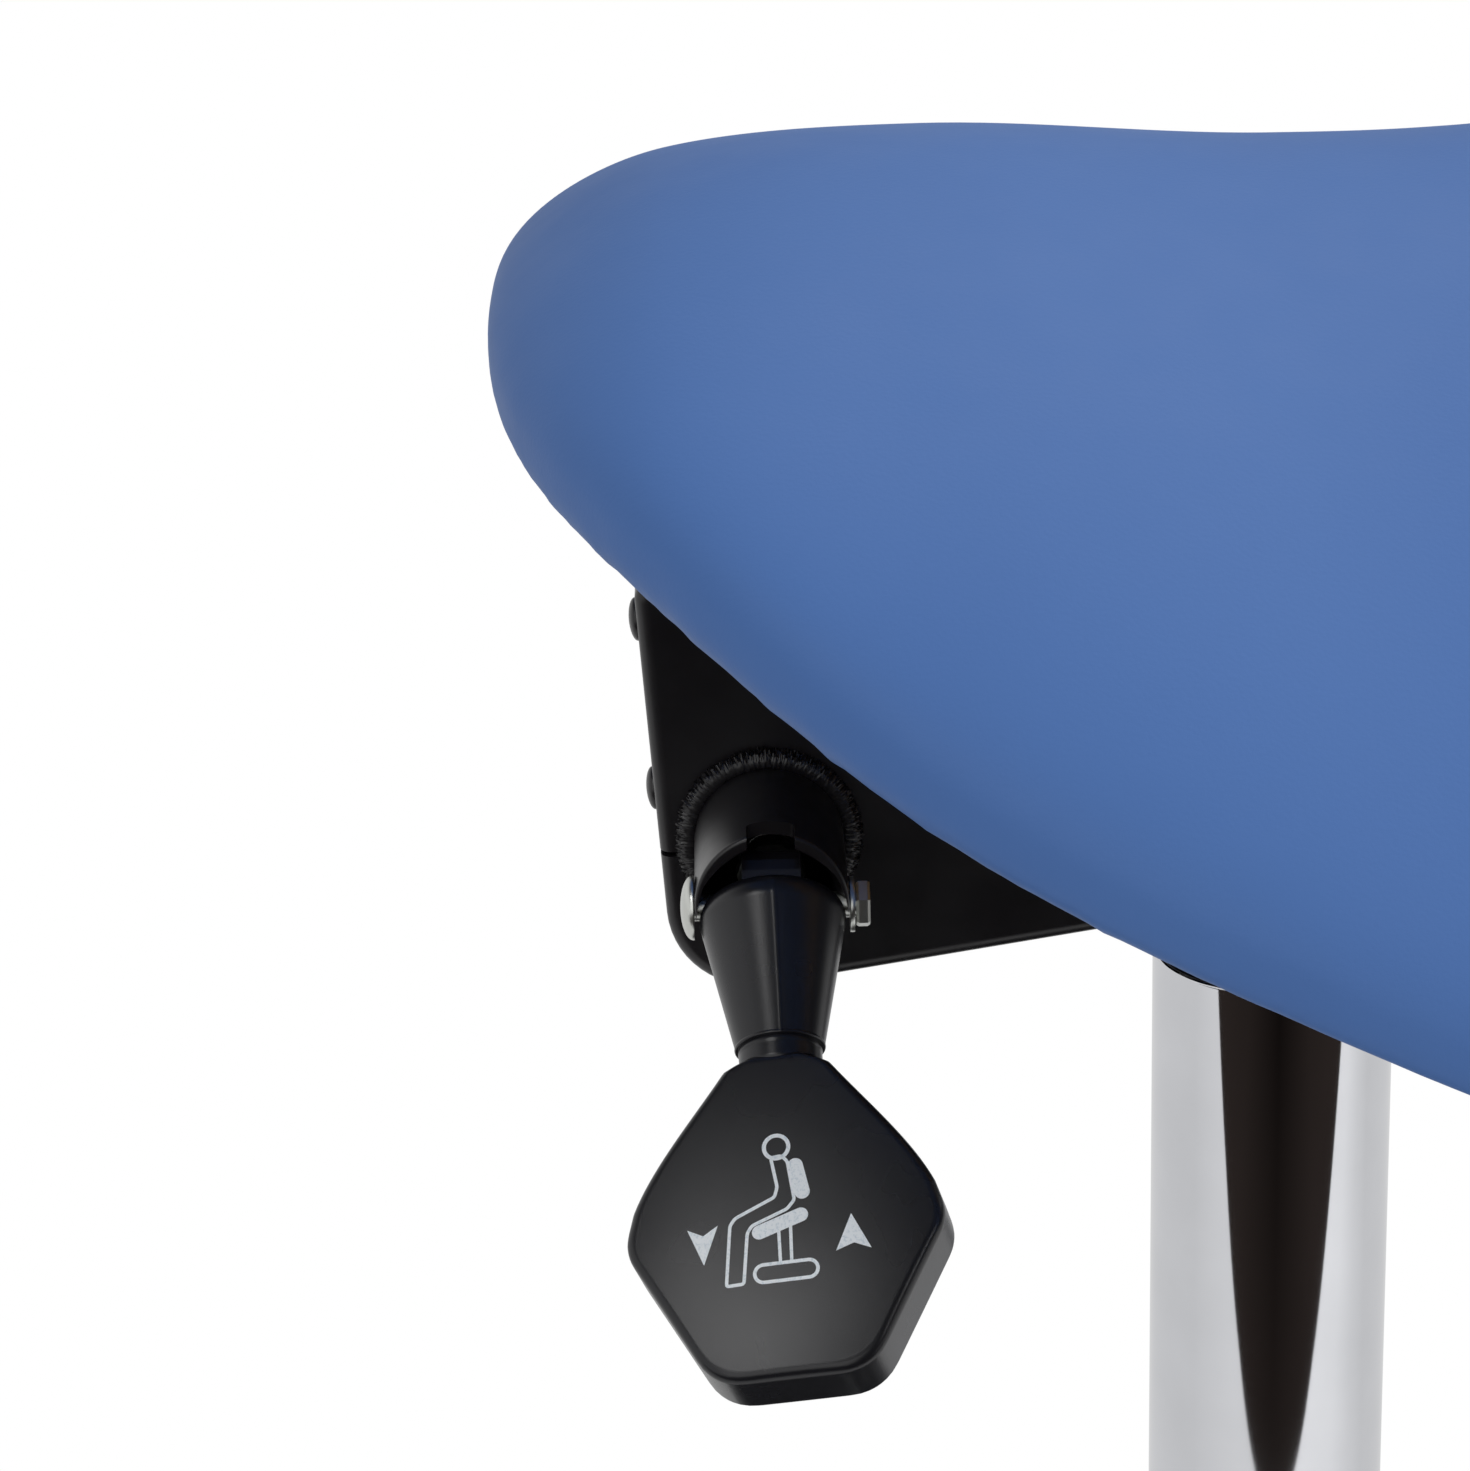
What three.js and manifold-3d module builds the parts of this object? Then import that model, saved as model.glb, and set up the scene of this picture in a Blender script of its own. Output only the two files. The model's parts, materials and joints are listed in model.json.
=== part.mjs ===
// A saddle stool on a gas lift, with a seat-tilt mechanism and a rubber wobble joint in its base.
// Millimetres, +Z up, the origin under the column on the floor. The front of the seat is towards -Y,
// and +X is the side of the tilt lever.

import * as THREE from "three";
import { mergeVertices } from "three/addons/utils/BufferGeometryUtils.js";
import Module from "manifold-3d";

const wasm = await Module();
wasm.setup();

// Common fits
const gap = 0.3;
const overrun = 5;
const turningGap = 0.6;

// Bolts through the frame and the base
const boltRadius = 4;
const boltFlats = 13;
const boltHeadHeight = 5.3;
const boltHeadRadius = boltFlats / Math.sqrt(3);
const boltRoom = 1.5;
const seatBoltReach = 7;
const baseBoltReach = 8;
const baseBoltCount = 3;

// Base and wobble joint, from the floor up
const baseRadius = 210;
const baseRim = 10;
const floorRingHeight = 5.7;
const floorRingWidth = 60;
const plateThickness = 12;
const coverThickness = 3;
const coverOpening = 64;
const coverRise = 32;
const coverInset = 3;
const rubberRadius = 42;
const rubberHollow = 4;
const rubberThickness = 15.4;
const springPlateThickness = 6;
const interleafRim = 3;
const interleafThickness = 5;
const flangeThickness = 8;
const footWell = 30.7;
const footWall = 3.7;
const footTaper = 3;
const footGrip = 50;
const footLedgeRadius = 18;
const plateRadius = baseRadius - baseRim;
const baseBoltCircle = rubberRadius + boltRoom + boltHeadRadius;
const springPlateRadius = baseBoltCircle + boltHeadRadius + boltRoom;
const interleafRadius = rubberRadius + interleafRim;
const plateLow = floorRingHeight + gap;
const plateHigh = plateLow + plateThickness;
const springPlateLow = plateHigh + gap;
const springPlateHigh = springPlateLow + springPlateThickness;
const lowerRubberLow = springPlateHigh + gap;
const lowerRubberHigh = lowerRubberLow + rubberThickness;
const interleafLow = lowerRubberHigh + gap;
const interleafHigh = interleafLow + interleafThickness;
const upperRubberLow = interleafHigh + gap;
const upperRubberHigh = upperRubberLow + rubberThickness;
const flangeLow = upperRubberHigh + gap;
const flangeHigh = flangeLow + flangeThickness;

// Column, from its foot up
const columnRadius = 25;
const columnWall = 2;
const columnLength = 314;
const columnFloor = 4;
const bushLength = 80;
const bushFlange = 3;
const cylinderRadius = 14;
const cylinderWall = 3;
const cylinderProud = 50;
const cylinderCap = 8;
const cylinderHead = 22;
const taperLength = 36;
const taperNarrowing = 1;
const liftStroke = 150;
const pistonRodRadius = 5;
const pistonNeckRadius = 4;
const pistonThickness = 12;
const raceThickness = 2.5;
const raceRadius = 13;
const ballRadius = 2.4;
const bufferRadius = 11;
const bufferHeight = 11.7;
const clipRadius = 8;
const clipThickness = 1.5;
const buttonRadius = 3;
const buttonDepth = 16;
const columnBottom = flangeHigh + footWell;
const columnTop = columnBottom + columnLength;
const lowerRace = columnBottom + columnFloor + gap;
const ballLevel = lowerRace + raceThickness + gap;
const upperRace = ballLevel + 2 * ballRadius + gap;
const bufferLow = upperRace + raceThickness + gap;
const cylinderBottom = bufferLow + bufferHeight + gap;
const cylinderTop = columnTop + cylinderProud;
const taperTopRadius = cylinderRadius - taperNarrowing;

// Carrier on top of the gas lift, about the tilt pivot
const pivotRise = 12;
const pivotHeight = cylinderTop + pivotRise;
const socketWall = 6.7;
const socketDrop = 40;
const socketLength = 30;
const socketRadius = cylinderRadius + gap + socketWall;
const cheekRoom = 5;
const cheekThickness = 8;
const cheekRim = 3.2;
const cheekInner = socketRadius + cheekRoom;
const cheekOuter = cheekInner + cheekThickness;
const carrierDrop = 28;
const carrierPlate = 5;
const carrierFront = 34;
const carrierRear = 30;
const carrierRoom = 2;
const studRadius = 10.5;
const studBore = 8;
const studHeadRadius = 16;
const studHeadHeight = 3;
const bushWall = 2.2;
const bushShoulderRadius = 17;
const bushShoulderLength = 12.4;
const fulcrumOffset = 15;
const fulcrumRadius = 2.5;
const fulcrumEarInner = 5.5;
const fulcrumEarOuter = 9.5;
const fulcrumEarReach = 8;
const heightRodRadius = 4;
const heightRodFinger = 8;
const heightRodProud = 10.4;
const heightSleeveOffset = 16;

// Tilt lock, along a line in front of the pivot and below it
const lockForward = 104.8;
const lockDrop = 15;
const camOffset = 2.8;
const camRadius = 8;
const camWidth = 11;
const camBack = 7;
const camRoom = 2.2;
const leverTubeWall = 2.6;
const leverTubeLength = 37;
const weldReach = 3.5;
const notchWidth = 9;
const notchDepth = 6.5;
const leverBoltRadius = 2.5;
const leverBoltHeadRadius = 6.1;
const leverBoltHeadHeight = 2.6;
const leverWasherRadius = 5.3;
const leverWasherThickness = 0.9;
const leverNutFlats = 8;
const leverNutHeight = 2.6;
const clampBoltRadius = 4;
const clampHeadRadius = 6.5;
const clampHeadLength = 5;
const armThickness = 8;
const discThickness = 3.4;
const discRadius = 15;
const jawThickness = 4;
const clampNutHeight = 6.5;
const clampNutFlats = 13;
const spacerRadius = 8;
const springWire = 1.2;
const springTurns = 5;
const slotSwing = 6.3;
const slotRim = 5.5;
const boreRadius = Math.hypot(camRadius, camWidth / 2) + camRoom;
const leverTubeRadius = boreRadius + leverTubeWall;

// Both levers, along their own length
const leverDroop = 42;
const leverSkew = 1.9;
const leverLift = 22;
const leverLineDrop = 2;
const leverRodRadius = 5;
const sleeveInset = 1.1;
const sleeveNeckRadius = 8.2;
const sleeveDome = 10.5;
const sleeveLength = 29.7;
const sleeveShoulder = 6.5;
const neckLength = 5.5;
const paddleShoulder = 3.3;
const paddleLength = 62.8;
const paddleWaistReach = 35.4;
const paddleHalfWidth = 29.7;
const paddleEndHalfWidth = 14.3;
const paddleThickness = 16;
const paddleEdge = 3;
const paddleCorner = 5;
const paddleRoll = 11.6;
const sleeveTopRadius = leverTubeRadius - sleeveInset;

// Folded frame of the tilt mechanism, about the tilt pivot
const mechanismLean = 3.8;
const frameSteel = 3;
const frameNoseRoom = 1.2;
const frameRear = 78;
const frameTop = 46;
const frameDropFront = 42.1;
const frameDropRear = 24.6;
const frameCornerRadius = 17;
const frameTopRadius = 5;
const frameLip = 22;
const lockLip = 11;
const reliefLevel = -10;
const reliefLength = 3.5;
const reliefWidth = 1;
const rivetHeadRadius = 4.25;
const rivetHeadHeight = 1.5;
const rivetShankRadius = 2;
const rivetInset = 10;
const rivetTopInset = 11;
const rivetLowerLevel = 0;
const seatBoltFrontInset = 42;
const seatBoltRearInset = 23;
const blockSideInset = 4;
const blockFrontInset = 29;
const blockRearInset = 6;
const frameHalfWidth = cheekOuter + bushShoulderLength + 2 * gap + frameSteel;
const frameFront = lockForward + discRadius + 2 * frameSteel + frameNoseRoom;

// Saddle seat
const blockHeight = 11.6;
const shellThickness = 10;
const foamThickness = 38;
const seatFront = 157;
const seatRear = 190;
const seatHalfWidth = 204;
const seatTaperShare = 0.16;
const planPowerShare = 2.56;
const edgePowerShare = 2.55;
const flankPowerShare = 1.54;
const crownUp = 26;
const crownDown = 35;
const cantleRise = 23.5;
const flankDrop = 91;
const recessShare = 0.8;
const shellShare = 0.785;
const blockTop = pivotHeight + frameTop + gap + blockHeight;
const waistHeight = blockTop + shellThickness + foamThickness + 2 * gap;

// Facet counts
const seatFacets = 40;
const baseFacets = 36;
const wideFacets = 28;
const tubeFacets = 32;
const midFacets = 20;
const smallFacets = 10;

// Finishes, as the photograph shows them
const finish = (color, roughness, metalness) =>
  new THREE.MeshStandardMaterial({ color, roughness, metalness });
const vinyl = finish("#5b79ad", 0.55, 0);
const chrome = finish("#c3c4c8", 0.08, 1);
const blackSteel = finish("#121116", 0.4, 0.3);
const blackPlastic = finish("#232429", 0.5, 0);
const zincSteel = finish("#b6b8b4", 0.3, 1);
const darkSteel = finish("#3a3b3e", 0.4, 0.9);
const rubber = finish("#17181a", 0.85, 0);
const nylon = finish("#d9d7cf", 0.5, 0);
const plywood = finish("#b98f5e", 0.7, 0);
const brakeFibre = finish("#6d5b45", 0.9, 0);

const stool = new THREE.Group();

function degrees(angle) {
  return THREE.MathUtils.degToRad(angle);
}

// A closed, outward-facing mesh whose shared corners are merged and whose flat slivers are gone.
function closed(geometry) {
  const bare = geometry.clone();
  bare.deleteAttribute("normal");
  bare.deleteAttribute("uv");
  const merged = mergeVertices(bare.index ? bare.toNonIndexed() : bare, 1e-3);
  const place = merged.attributes.position;
  const source = merged.index.array;
  const kept = [];
  const a = new THREE.Vector3();
  const b = new THREE.Vector3();
  const c = new THREE.Vector3();
  let volume = 0;
  for (let i = 0; i < source.length; i += 3) {
    const [p, q, r] = [source[i], source[i + 1], source[i + 2]];
    if (p === q || q === r || r === p) continue;
    kept.push(p, q, r);
    a.fromBufferAttribute(place, p);
    b.fromBufferAttribute(place, q);
    c.fromBufferAttribute(place, r);
    volume += a.dot(b.cross(c));
  }
  if (volume < 0) kept.reverse();
  merged.setIndex(kept);
  return merged;
}

function toSolid(geometry) {
  const mesh = closed(geometry);
  const vertProperties = new Float32Array(mesh.attributes.position.array);
  const triVerts = new Uint32Array(mesh.index.array);
  return new wasm.Manifold(new wasm.Mesh({ numProp: 3, vertProperties, triVerts }));
}

function fromSolid(solid) {
  const mesh = solid.getMesh();
  const geometry = new THREE.BufferGeometry();
  geometry.setAttribute("position", new THREE.BufferAttribute(mesh.vertProperties, 3));
  geometry.setIndex([...mesh.triVerts]);
  return geometry;
}

function cut(body, ...tools) {
  return fromSolid(tools.reduce((rest, tool) => rest.subtract(toSolid(tool)), toSolid(body)));
}

function join(...bodies) {
  return fromSolid(bodies.slice(1).reduce((all, next) => all.add(toSolid(next)), toSolid(bodies[0])));
}

function add(parent, name, geometry, material) {
  const mesh = new THREE.Mesh(closed(geometry), material);
  mesh.name = name;
  parent.add(mesh);
  return mesh;
}

// A turned piece about Z. The profile is a list of [radius, height]; off the axis it closes itself.
function turned(profile, facets) {
  const first = profile[0];
  const last = profile[profile.length - 1];
  const ring = first[0] > 0 || last[0] > 0 ? [...profile, first] : profile;
  const points = ring.map(([radius, height]) => new THREE.Vector2(radius, height));
  return new THREE.LatheGeometry(points, facets).rotateX(Math.PI / 2);
}

function tube(inner, outer, low, high, facets) {
  return turned([[inner, low], [outer, low], [outer, high], [inner, high]], facets);
}

function rod(radius, low, high, facets) {
  return turned([[0, low], [radius, low], [radius, high], [0, high]], facets);
}

// Turns a piece made along Z so that it lies along X or along Y.
function alongX(geometry) {
  return geometry.rotateY(Math.PI / 2);
}

function alongY(geometry) {
  return geometry.rotateX(-Math.PI / 2);
}

function block(x0, x1, y0, y1, z0, z1) {
  const box = new THREE.BoxGeometry(x1 - x0, y1 - y0, z1 - z0);
  return box.translate((x0 + x1) / 2, (y0 + y1) / 2, (z0 + z1) / 2);
}

// A plate drawn in the plane of Y and Z and thickened along X from x0 to x1.
function sidePlate(shape, x0, x1, curveSegments) {
  const plate = new THREE.ExtrudeGeometry(shape, { depth: x1 - x0, bevelEnabled: false, curveSegments });
  return plate.rotateY(Math.PI / 2).rotateX(Math.PI / 2).translate(x0, 0, 0);
}

function hexagon(flats, low, high) {
  const nut = new THREE.CylinderGeometry(flats / Math.sqrt(3), flats / Math.sqrt(3), high - low, 6);
  return nut.rotateX(Math.PI / 2).translate(0, 0, (low + high) / 2);
}

function hexBolt(headFlats, headHeight, shankRadius, reach) {
  const head = hexagon(headFlats, -headHeight, 0);
  return join(head, rod(shankRadius, -headHeight / 2, reach, smallFacets));
}

// A smooth curve through knots, with slopes taken from each knot's neighbours.
function smoothThrough(knots, values, at) {
  const last = knots.length - 1;
  const slopes = values.map((value, i) => {
    const before = Math.max(i - 1, 0);
    const after = Math.min(i + 1, last);
    return (values[after] - values[before]) / (knots[after] - knots[before]);
  });
  let i = 0;
  while (i < last - 1 && at > knots[i + 1]) i += 1;
  const span = knots[i + 1] - knots[i];
  const t = (at - knots[i]) / span;
  const t2 = t * t;
  const t3 = t2 * t;
  const start = (2 * t3 - 3 * t2 + 1) * values[i] + (t3 - 2 * t2 + t) * span * slopes[i];
  const end = (3 * t2 - 2 * t3) * values[i + 1] + (t3 - t2) * span * slopes[i + 1];
  return start + end;
}

// The saddle's top surface before its edge rounds over. Front to rear is u from -1 to 1, and side to
// side is v from -1 to 1: the ridge rises to the cantle, and the flanks fall away from it.
const ridgeKnotShares = [-1, -0.8, -0.5, -0.1, 0.3, 0.7, 1];
const ridgeRiseShares = [-0.1, 0.21, 0.21, 0, 0.19, 1, 0.91];
const dropKnotShares = [-1, -0.6, -0.2, 0.2, 0.6, 1];
const dropShares = [0.21, 0.57, 0.76, 1, 0.86, 0.5];

function saddleHeight(u, v) {
  const ridge = cantleRise * smoothThrough(ridgeKnotShares, ridgeRiseShares, u);
  const drop = flankDrop * smoothThrough(dropKnotShares, dropShares, u);
  return waistHeight + ridge - drop * Math.abs(v) ** flankPowerShare;
}

function signedPower(value, power) {
  return Math.sign(value) * Math.abs(value) ** power;
}

// A closed form over the saddle's plan. The profile is a list of [share of the plan, height over the
// saddle's top surface], from the middle of the top to the middle of the underside. Facets are always
// split from the outer ring to the inner one, so that nested layers keep their distance.
function saddleForm(profile) {
  const places = [];
  const faces = [];
  const halfLength = (seatRear + seatFront) / 2;
  const middle = (seatRear - seatFront) / 2;
  const place = (share, turn, rise) => {
    const u = share * signedPower(Math.cos(turn), 2 / planPowerShare);
    const v = share * signedPower(Math.sin(turn), 2 / planPowerShare);
    const x = seatHalfWidth * v * (1 + seatTaperShare * u);
    places.push(x, middle + halfLength * u, saddleHeight(u, v) + rise);
  };
  const rings = profile.slice(1, -1);
  place(0, 0, profile[0][1]);
  for (const [share, rise] of rings) {
    for (let i = 0; i < seatFacets; i += 1) place(share, (2 * Math.PI * i) / seatFacets, rise);
  }
  place(0, 0, profile[profile.length - 1][1]);
  const bottom = places.length / 3 - 1;
  for (let i = 0; i < seatFacets; i += 1) {
    const next = (i + 1) % seatFacets;
    faces.push(0, 1 + i, 1 + next);
    for (let ring = 0; ring < rings.length - 1; ring += 1) {
      const here = 1 + ring * seatFacets;
      const below = here + seatFacets;
      const inward = rings[ring + 1][0] < rings[ring][0];
      if (inward) faces.push(here + i, below + i, below + next, here + i, below + next, here + next);
      else faces.push(here + i, below + i, here + next, here + next, below + i, below + next);
    }
    faces.push(bottom, bottom - seatFacets + next, bottom - seatFacets + i);
  }
  const form = new THREE.BufferGeometry();
  form.setAttribute("position", new THREE.Float32BufferAttribute(places, 3));
  form.setIndex(faces);
  return form;
}

// The rounded edge: share and rise follow one superellipse, tighter above than below.
function edgeProfile(fromAngle, toAngle, steps) {
  const profile = [];
  for (let i = 0; i <= steps; i += 1) {
    const angle = fromAngle + ((toAngle - fromAngle) * i) / steps;
    const share = Math.sin(angle) ** (2 / edgePowerShare);
    const height = signedPower(Math.cos(angle), 2 / edgePowerShare);
    profile.push([share, -crownUp + (height > 0 ? crownUp : crownDown) * height]);
  }
  return profile;
}

const innerShares = [0.6, 0.4, 0.2];

function seatCushion() {
  const lipAngle = Math.PI - Math.asin(recessShare ** (edgePowerShare / 2));
  const crown = edgeProfile(0, Math.PI / 2, 10);
  const lip = edgeProfile(Math.PI / 2, lipAngle, 5).slice(1);
  const recess = [recessShare, shellShare, ...innerShares, 0].map((share) => [share, -foamThickness]);
  return saddleForm([...crown, ...lip, ...recess]);
}

// A layer of the shell's plan between two depths under the saddle's top surface.
function saddleLayer(topDepth, bottomDepth) {
  const out = [0, ...[...innerShares].reverse(), shellShare].map((share) => [share, -topDepth]);
  const back = [shellShare, ...innerShares, 0].map((share) => [share, -bottomDepth]);
  return saddleForm([...out, ...back]);
}

// The mechanism leans with the seat: its pieces are drawn upright about the tilt pivot, then leaned.
const mechanism = new THREE.Group();
mechanism.position.z = pivotHeight;
mechanism.rotation.x = degrees(mechanismLean);
mechanism.updateMatrixWorld();
stool.add(mechanism);

function leaned(geometry) {
  return geometry.applyMatrix4(mechanism.matrixWorld);
}

const lockHeight = pivotHeight - lockDrop;
const lockPlace = mechanism.worldToLocal(new THREE.Vector3(0, -lockForward, lockHeight));
const shellTopDepth = foamThickness + gap;
const shellBottomDepth = shellTopDepth + shellThickness;
const seatBoltAside = frameHalfWidth - frameSteel - boltHeadRadius - turningGap;
const seatBoltFront = -frameFront + seatBoltFrontInset;
const seatBoltRear = frameRear - seatBoltRearInset;
const seatBoltPlaces = [
  [-seatBoltAside, seatBoltFront], [seatBoltAside, seatBoltFront],
  [-seatBoltAside, seatBoltRear], [seatBoltAside, seatBoltRear],
];

// The saddle's share coordinates over a place of the plan.
function shellUndersideAt(x, y) {
  const halfLength = (seatRear + seatFront) / 2;
  const u = (y - (seatRear - seatFront) / 2) / halfLength;
  const v = x / (seatHalfWidth * (1 + seatTaperShare * u));
  return saddleHeight(u, v) - shellBottomDepth;
}

// The length of a bolt along the leaned frame's own upright, from its top lip up into the shell.
function seatBoltLength(x, y) {
  const lip = new THREE.Vector3(x, y, frameTop - frameSteel).applyMatrix4(mechanism.matrixWorld);
  return (shellUndersideAt(lip.x, lip.y) - lip.z) / Math.cos(degrees(mechanismLean)) + seatBoltReach;
}

function boltHole(x, y, radius) {
  const low = frameTop - frameSteel - overrun;
  const length = seatBoltLength(x, y) + shellThickness + 2 * overrun;
  return rod(radius, low, low + length, smallFacets).translate(x, y, 0);
}

function makeSeat() {
  add(stool, "seat_cushion", seatCushion(), vinyl);
  const holes = seatBoltPlaces.map(([x, y]) => leaned(boltHole(x, y, boltRadius + gap)));
  add(stool, "seat_shell", cut(saddleLayer(shellTopDepth, shellBottomDepth), ...holes), plywood);
  const low = frameTop + gap;
  const height = waistHeight + cantleRise - pivotHeight;
  const side = frameHalfWidth - blockSideInset;
  const front = -frameFront + blockFrontInset;
  const blank = leaned(block(-side, side, front, frameRear - blockRearInset, low, height));
  const blanket = saddleLayer(-waistHeight, shellBottomDepth + gap);
  add(stool, "seat_block", cut(blank, blanket, ...holes), blackPlastic);
  seatBoltPlaces.forEach(([x, y], i) => {
    const length = seatBoltLength(x, y);
    const bolt = hexBolt(boltFlats, boltHeadHeight, boltRadius, length);
    bolt.translate(x, y, frameTop - frameSteel - gap);
    add(mechanism, `seat_bolt_${i + 1}`, bolt, zincSteel);
  });
}

// The frame's side outline in Y and Z, drawn in from its outer faces by an inset. Its lower edge rises
// to the rear, and both lower corners are round.
function frameOutline(inset) {
  const slope = Math.atan2(frameDropFront - frameDropRear, frameFront + frameRear);
  const rise = Math.tan(slope);
  const front = -frameFront + inset;
  const rear = frameRear - inset;
  const top = frameTop - inset;
  const low = (y) => -frameDropFront + (y + frameFront) * rise + inset / Math.cos(slope);
  const radius = frameCornerRadius - inset;
  const topRadius = frameTopRadius - inset;
  const frontRun = radius * Math.tan(Math.PI / 4 + slope / 2);
  const rearRun = radius * Math.tan(Math.PI / 4 - slope / 2);
  const frontCentre = [front + radius, low(front) + frontRun];
  const rearCentre = [rear - radius, low(rear) + rearRun];
  const down = -Math.PI / 2 + slope;
  const shape = new THREE.Shape();
  shape.moveTo(front, top - topRadius);
  shape.absarc(frontCentre[0], frontCentre[1], radius, Math.PI, down + 2 * Math.PI, false);
  shape.absarc(rearCentre[0], rearCentre[1], radius, down, 0, false);
  shape.absarc(rear - topRadius, top - topRadius, topRadius, 0, Math.PI / 2, false);
  shape.absarc(front + topRadius, top - topRadius, topRadius, Math.PI / 2, Math.PI, false);
  return shape;
}

function tiltFrame() {
  const bend = frameSteel;
  const skin = new THREE.ExtrudeGeometry(frameOutline(bend), {
    depth: 2 * (frameHalfWidth - bend),
    bevelThickness: bend,
    bevelSize: bend,
    bevelSegments: 2,
    curveSegments: 3,
  });
  skin.rotateY(Math.PI / 2).rotateX(Math.PI / 2).translate(-frameHalfWidth + bend, 0, 0);
  const inside = frameHalfWidth - frameSteel;
  const outside = frameHalfWidth + overrun;
  const hollow = sidePlate(frameOutline(frameSteel), -inside, inside, 3);
  const front = -frameFront;
  const lip = frameHalfWidth - frameLip;
  const upper = block(-lip, lip, front + frameLip, frameRear - frameLip, 0, frameTop + overrun);
  const under = cheekOuter + carrierRoom;
  const lowest = -frameDropFront - overrun;
  const lower = block(-under, under, front + lockLip, frameRear - lockLip, lowest, -frameDropRear / 2);
  const window = frameHalfWidth - 2 * rivetInset + frameSteel;
  const inner = front + frameSteel + overrun;
  const doorway = block(-window, window, front - overrun, inner, reliefLevel, frameTop - 2 * frameSteel);
  const bushHole = alongX(rod(studRadius + bushWall + 2 * gap, -outside, outside, midFacets));
  const clampHole = alongX(rod(clampBoltRadius + turningGap, inside - overrun, outside, smallFacets));
  clampHole.translate(0, lockPlace.y, lockPlace.z);
  const reliefs = [-1, 1].map((side) => {
    const deep = 2 * frameSteel;
    const end = front + reliefLength;
    const slit = block(-deep, deep, front - overrun, end, reliefLevel - reliefWidth, reliefLevel);
    return slit.translate(side * frameHalfWidth, 0, 0);
  });
  const rivetHoles = rivetPlaces().map(([x, z]) => rivetHole(x, z));
  const seatHoles = seatBoltPlaces.map(([x, y]) => boltHole(x, y, boltRadius + gap));
  const windows = [hollow, upper, lower, doorway];
  return cut(skin, ...windows, bushHole, clampHole, ...reliefs, ...rivetHoles, ...seatHoles);
}

function rivetPlaces() {
  const x = frameHalfWidth - rivetInset;
  const upper = frameTop - rivetTopInset;
  return [[-x, upper], [x, upper], [-x, rivetLowerLevel], [x, rivetLowerLevel]];
}

function rivetHole(x, z) {
  const hole = alongY(rod(rivetShankRadius + gap, 0, 2 * frameSteel + 2 * overrun, smallFacets));
  return hole.translate(x, -frameFront - overrun, z);
}

// A domed rivet whose head stands on the frame's front face and whose tail is spread inside.
function rivet() {
  const grip = 2 * frameSteel + 3 * gap;
  const tail = 0.75 * rivetHeadRadius;
  const end = grip + rivetHeadHeight / 2;
  const profile = [
    [0, -rivetHeadHeight], [rivetHeadRadius / 2, -0.8 * rivetHeadHeight], [rivetHeadRadius, 0],
    [rivetShankRadius, 0], [rivetShankRadius, grip], [tail, grip], [tail, end], [0, end],
  ];
  return alongY(turned(profile, smallFacets));
}

function makeFrame() {
  add(mechanism, "tilt_frame", tiltFrame(), blackSteel);
  const plateEdge = frameHalfWidth - frameSteel - gap;
  const inner = -frameFront + frameSteel + gap;
  const bottom = reliefLevel - rivetInset / 2;
  const top = frameTop - frameTopRadius - gap;
  const plate = block(-plateEdge, plateEdge, inner, inner + frameSteel, bottom, top);
  const holes = rivetPlaces().map(([x, z]) => rivetHole(x, z));
  add(mechanism, "front_plate", cut(plate, ...holes), blackSteel);
  rivetPlaces().forEach(([x, z], i) => {
    add(mechanism, `rivet_${i + 1}`, rivet().translate(x, -frameFront - gap, z), zincSteel);
  });
}

// Studs in the carrier's cheeks carry the frame on flanged nylon bushes. The far stud is hollow, and
// the height lever's rod runs through it.
function makePivots() {
  const outside = frameHalfWidth + gap;
  const bushInner = studRadius + gap;
  const bushOuter = bushInner + bushWall;
  const shoulder = frameHalfWidth - frameSteel - gap;
  for (const [side, name] of [[1, "near"], [-1, "far"]]) {
    const bush = turned([
      [bushInner, cheekOuter + gap], [bushShoulderRadius, cheekOuter + gap], [bushShoulderRadius, shoulder],
      [bushOuter, shoulder], [bushOuter, outside], [bushInner, outside],
    ], midFacets);
    const head = outside + gap;
    const bore = side > 0 ? 0 : studBore;
    const stud = turned([
      [bore, cheekInner], [studRadius, cheekInner], [studRadius, head], [studHeadRadius, head],
      [studHeadRadius, head + studHeadHeight], [bore, head + studHeadHeight],
    ], midFacets);
    const turn = (side * Math.PI) / 2;
    add(mechanism, `pivot_bush_${name}`, bush.rotateY(turn), nylon);
    add(carrier, `pivot_stud_${name}`, stud.rotateY(turn), darkSteel);
  }
}

// The lock squeezes the carrier's slotted arm between two fibre discs. Everything lies on one line
// along X, drawn here about that line.
const lock = new THREE.Group();
lock.position.set(0, -lockForward, lockHeight);
stool.add(lock);
const armHalf = armThickness / 2;
const discFace = armHalf + gap + discThickness;
const jawFace = discFace + gap + jawThickness;
const tubeMouth = frameHalfWidth + leverTubeLength;
const camCentre = tubeMouth - camBack;
const clampHeadFace = camCentre - camRadius - gap;

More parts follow.
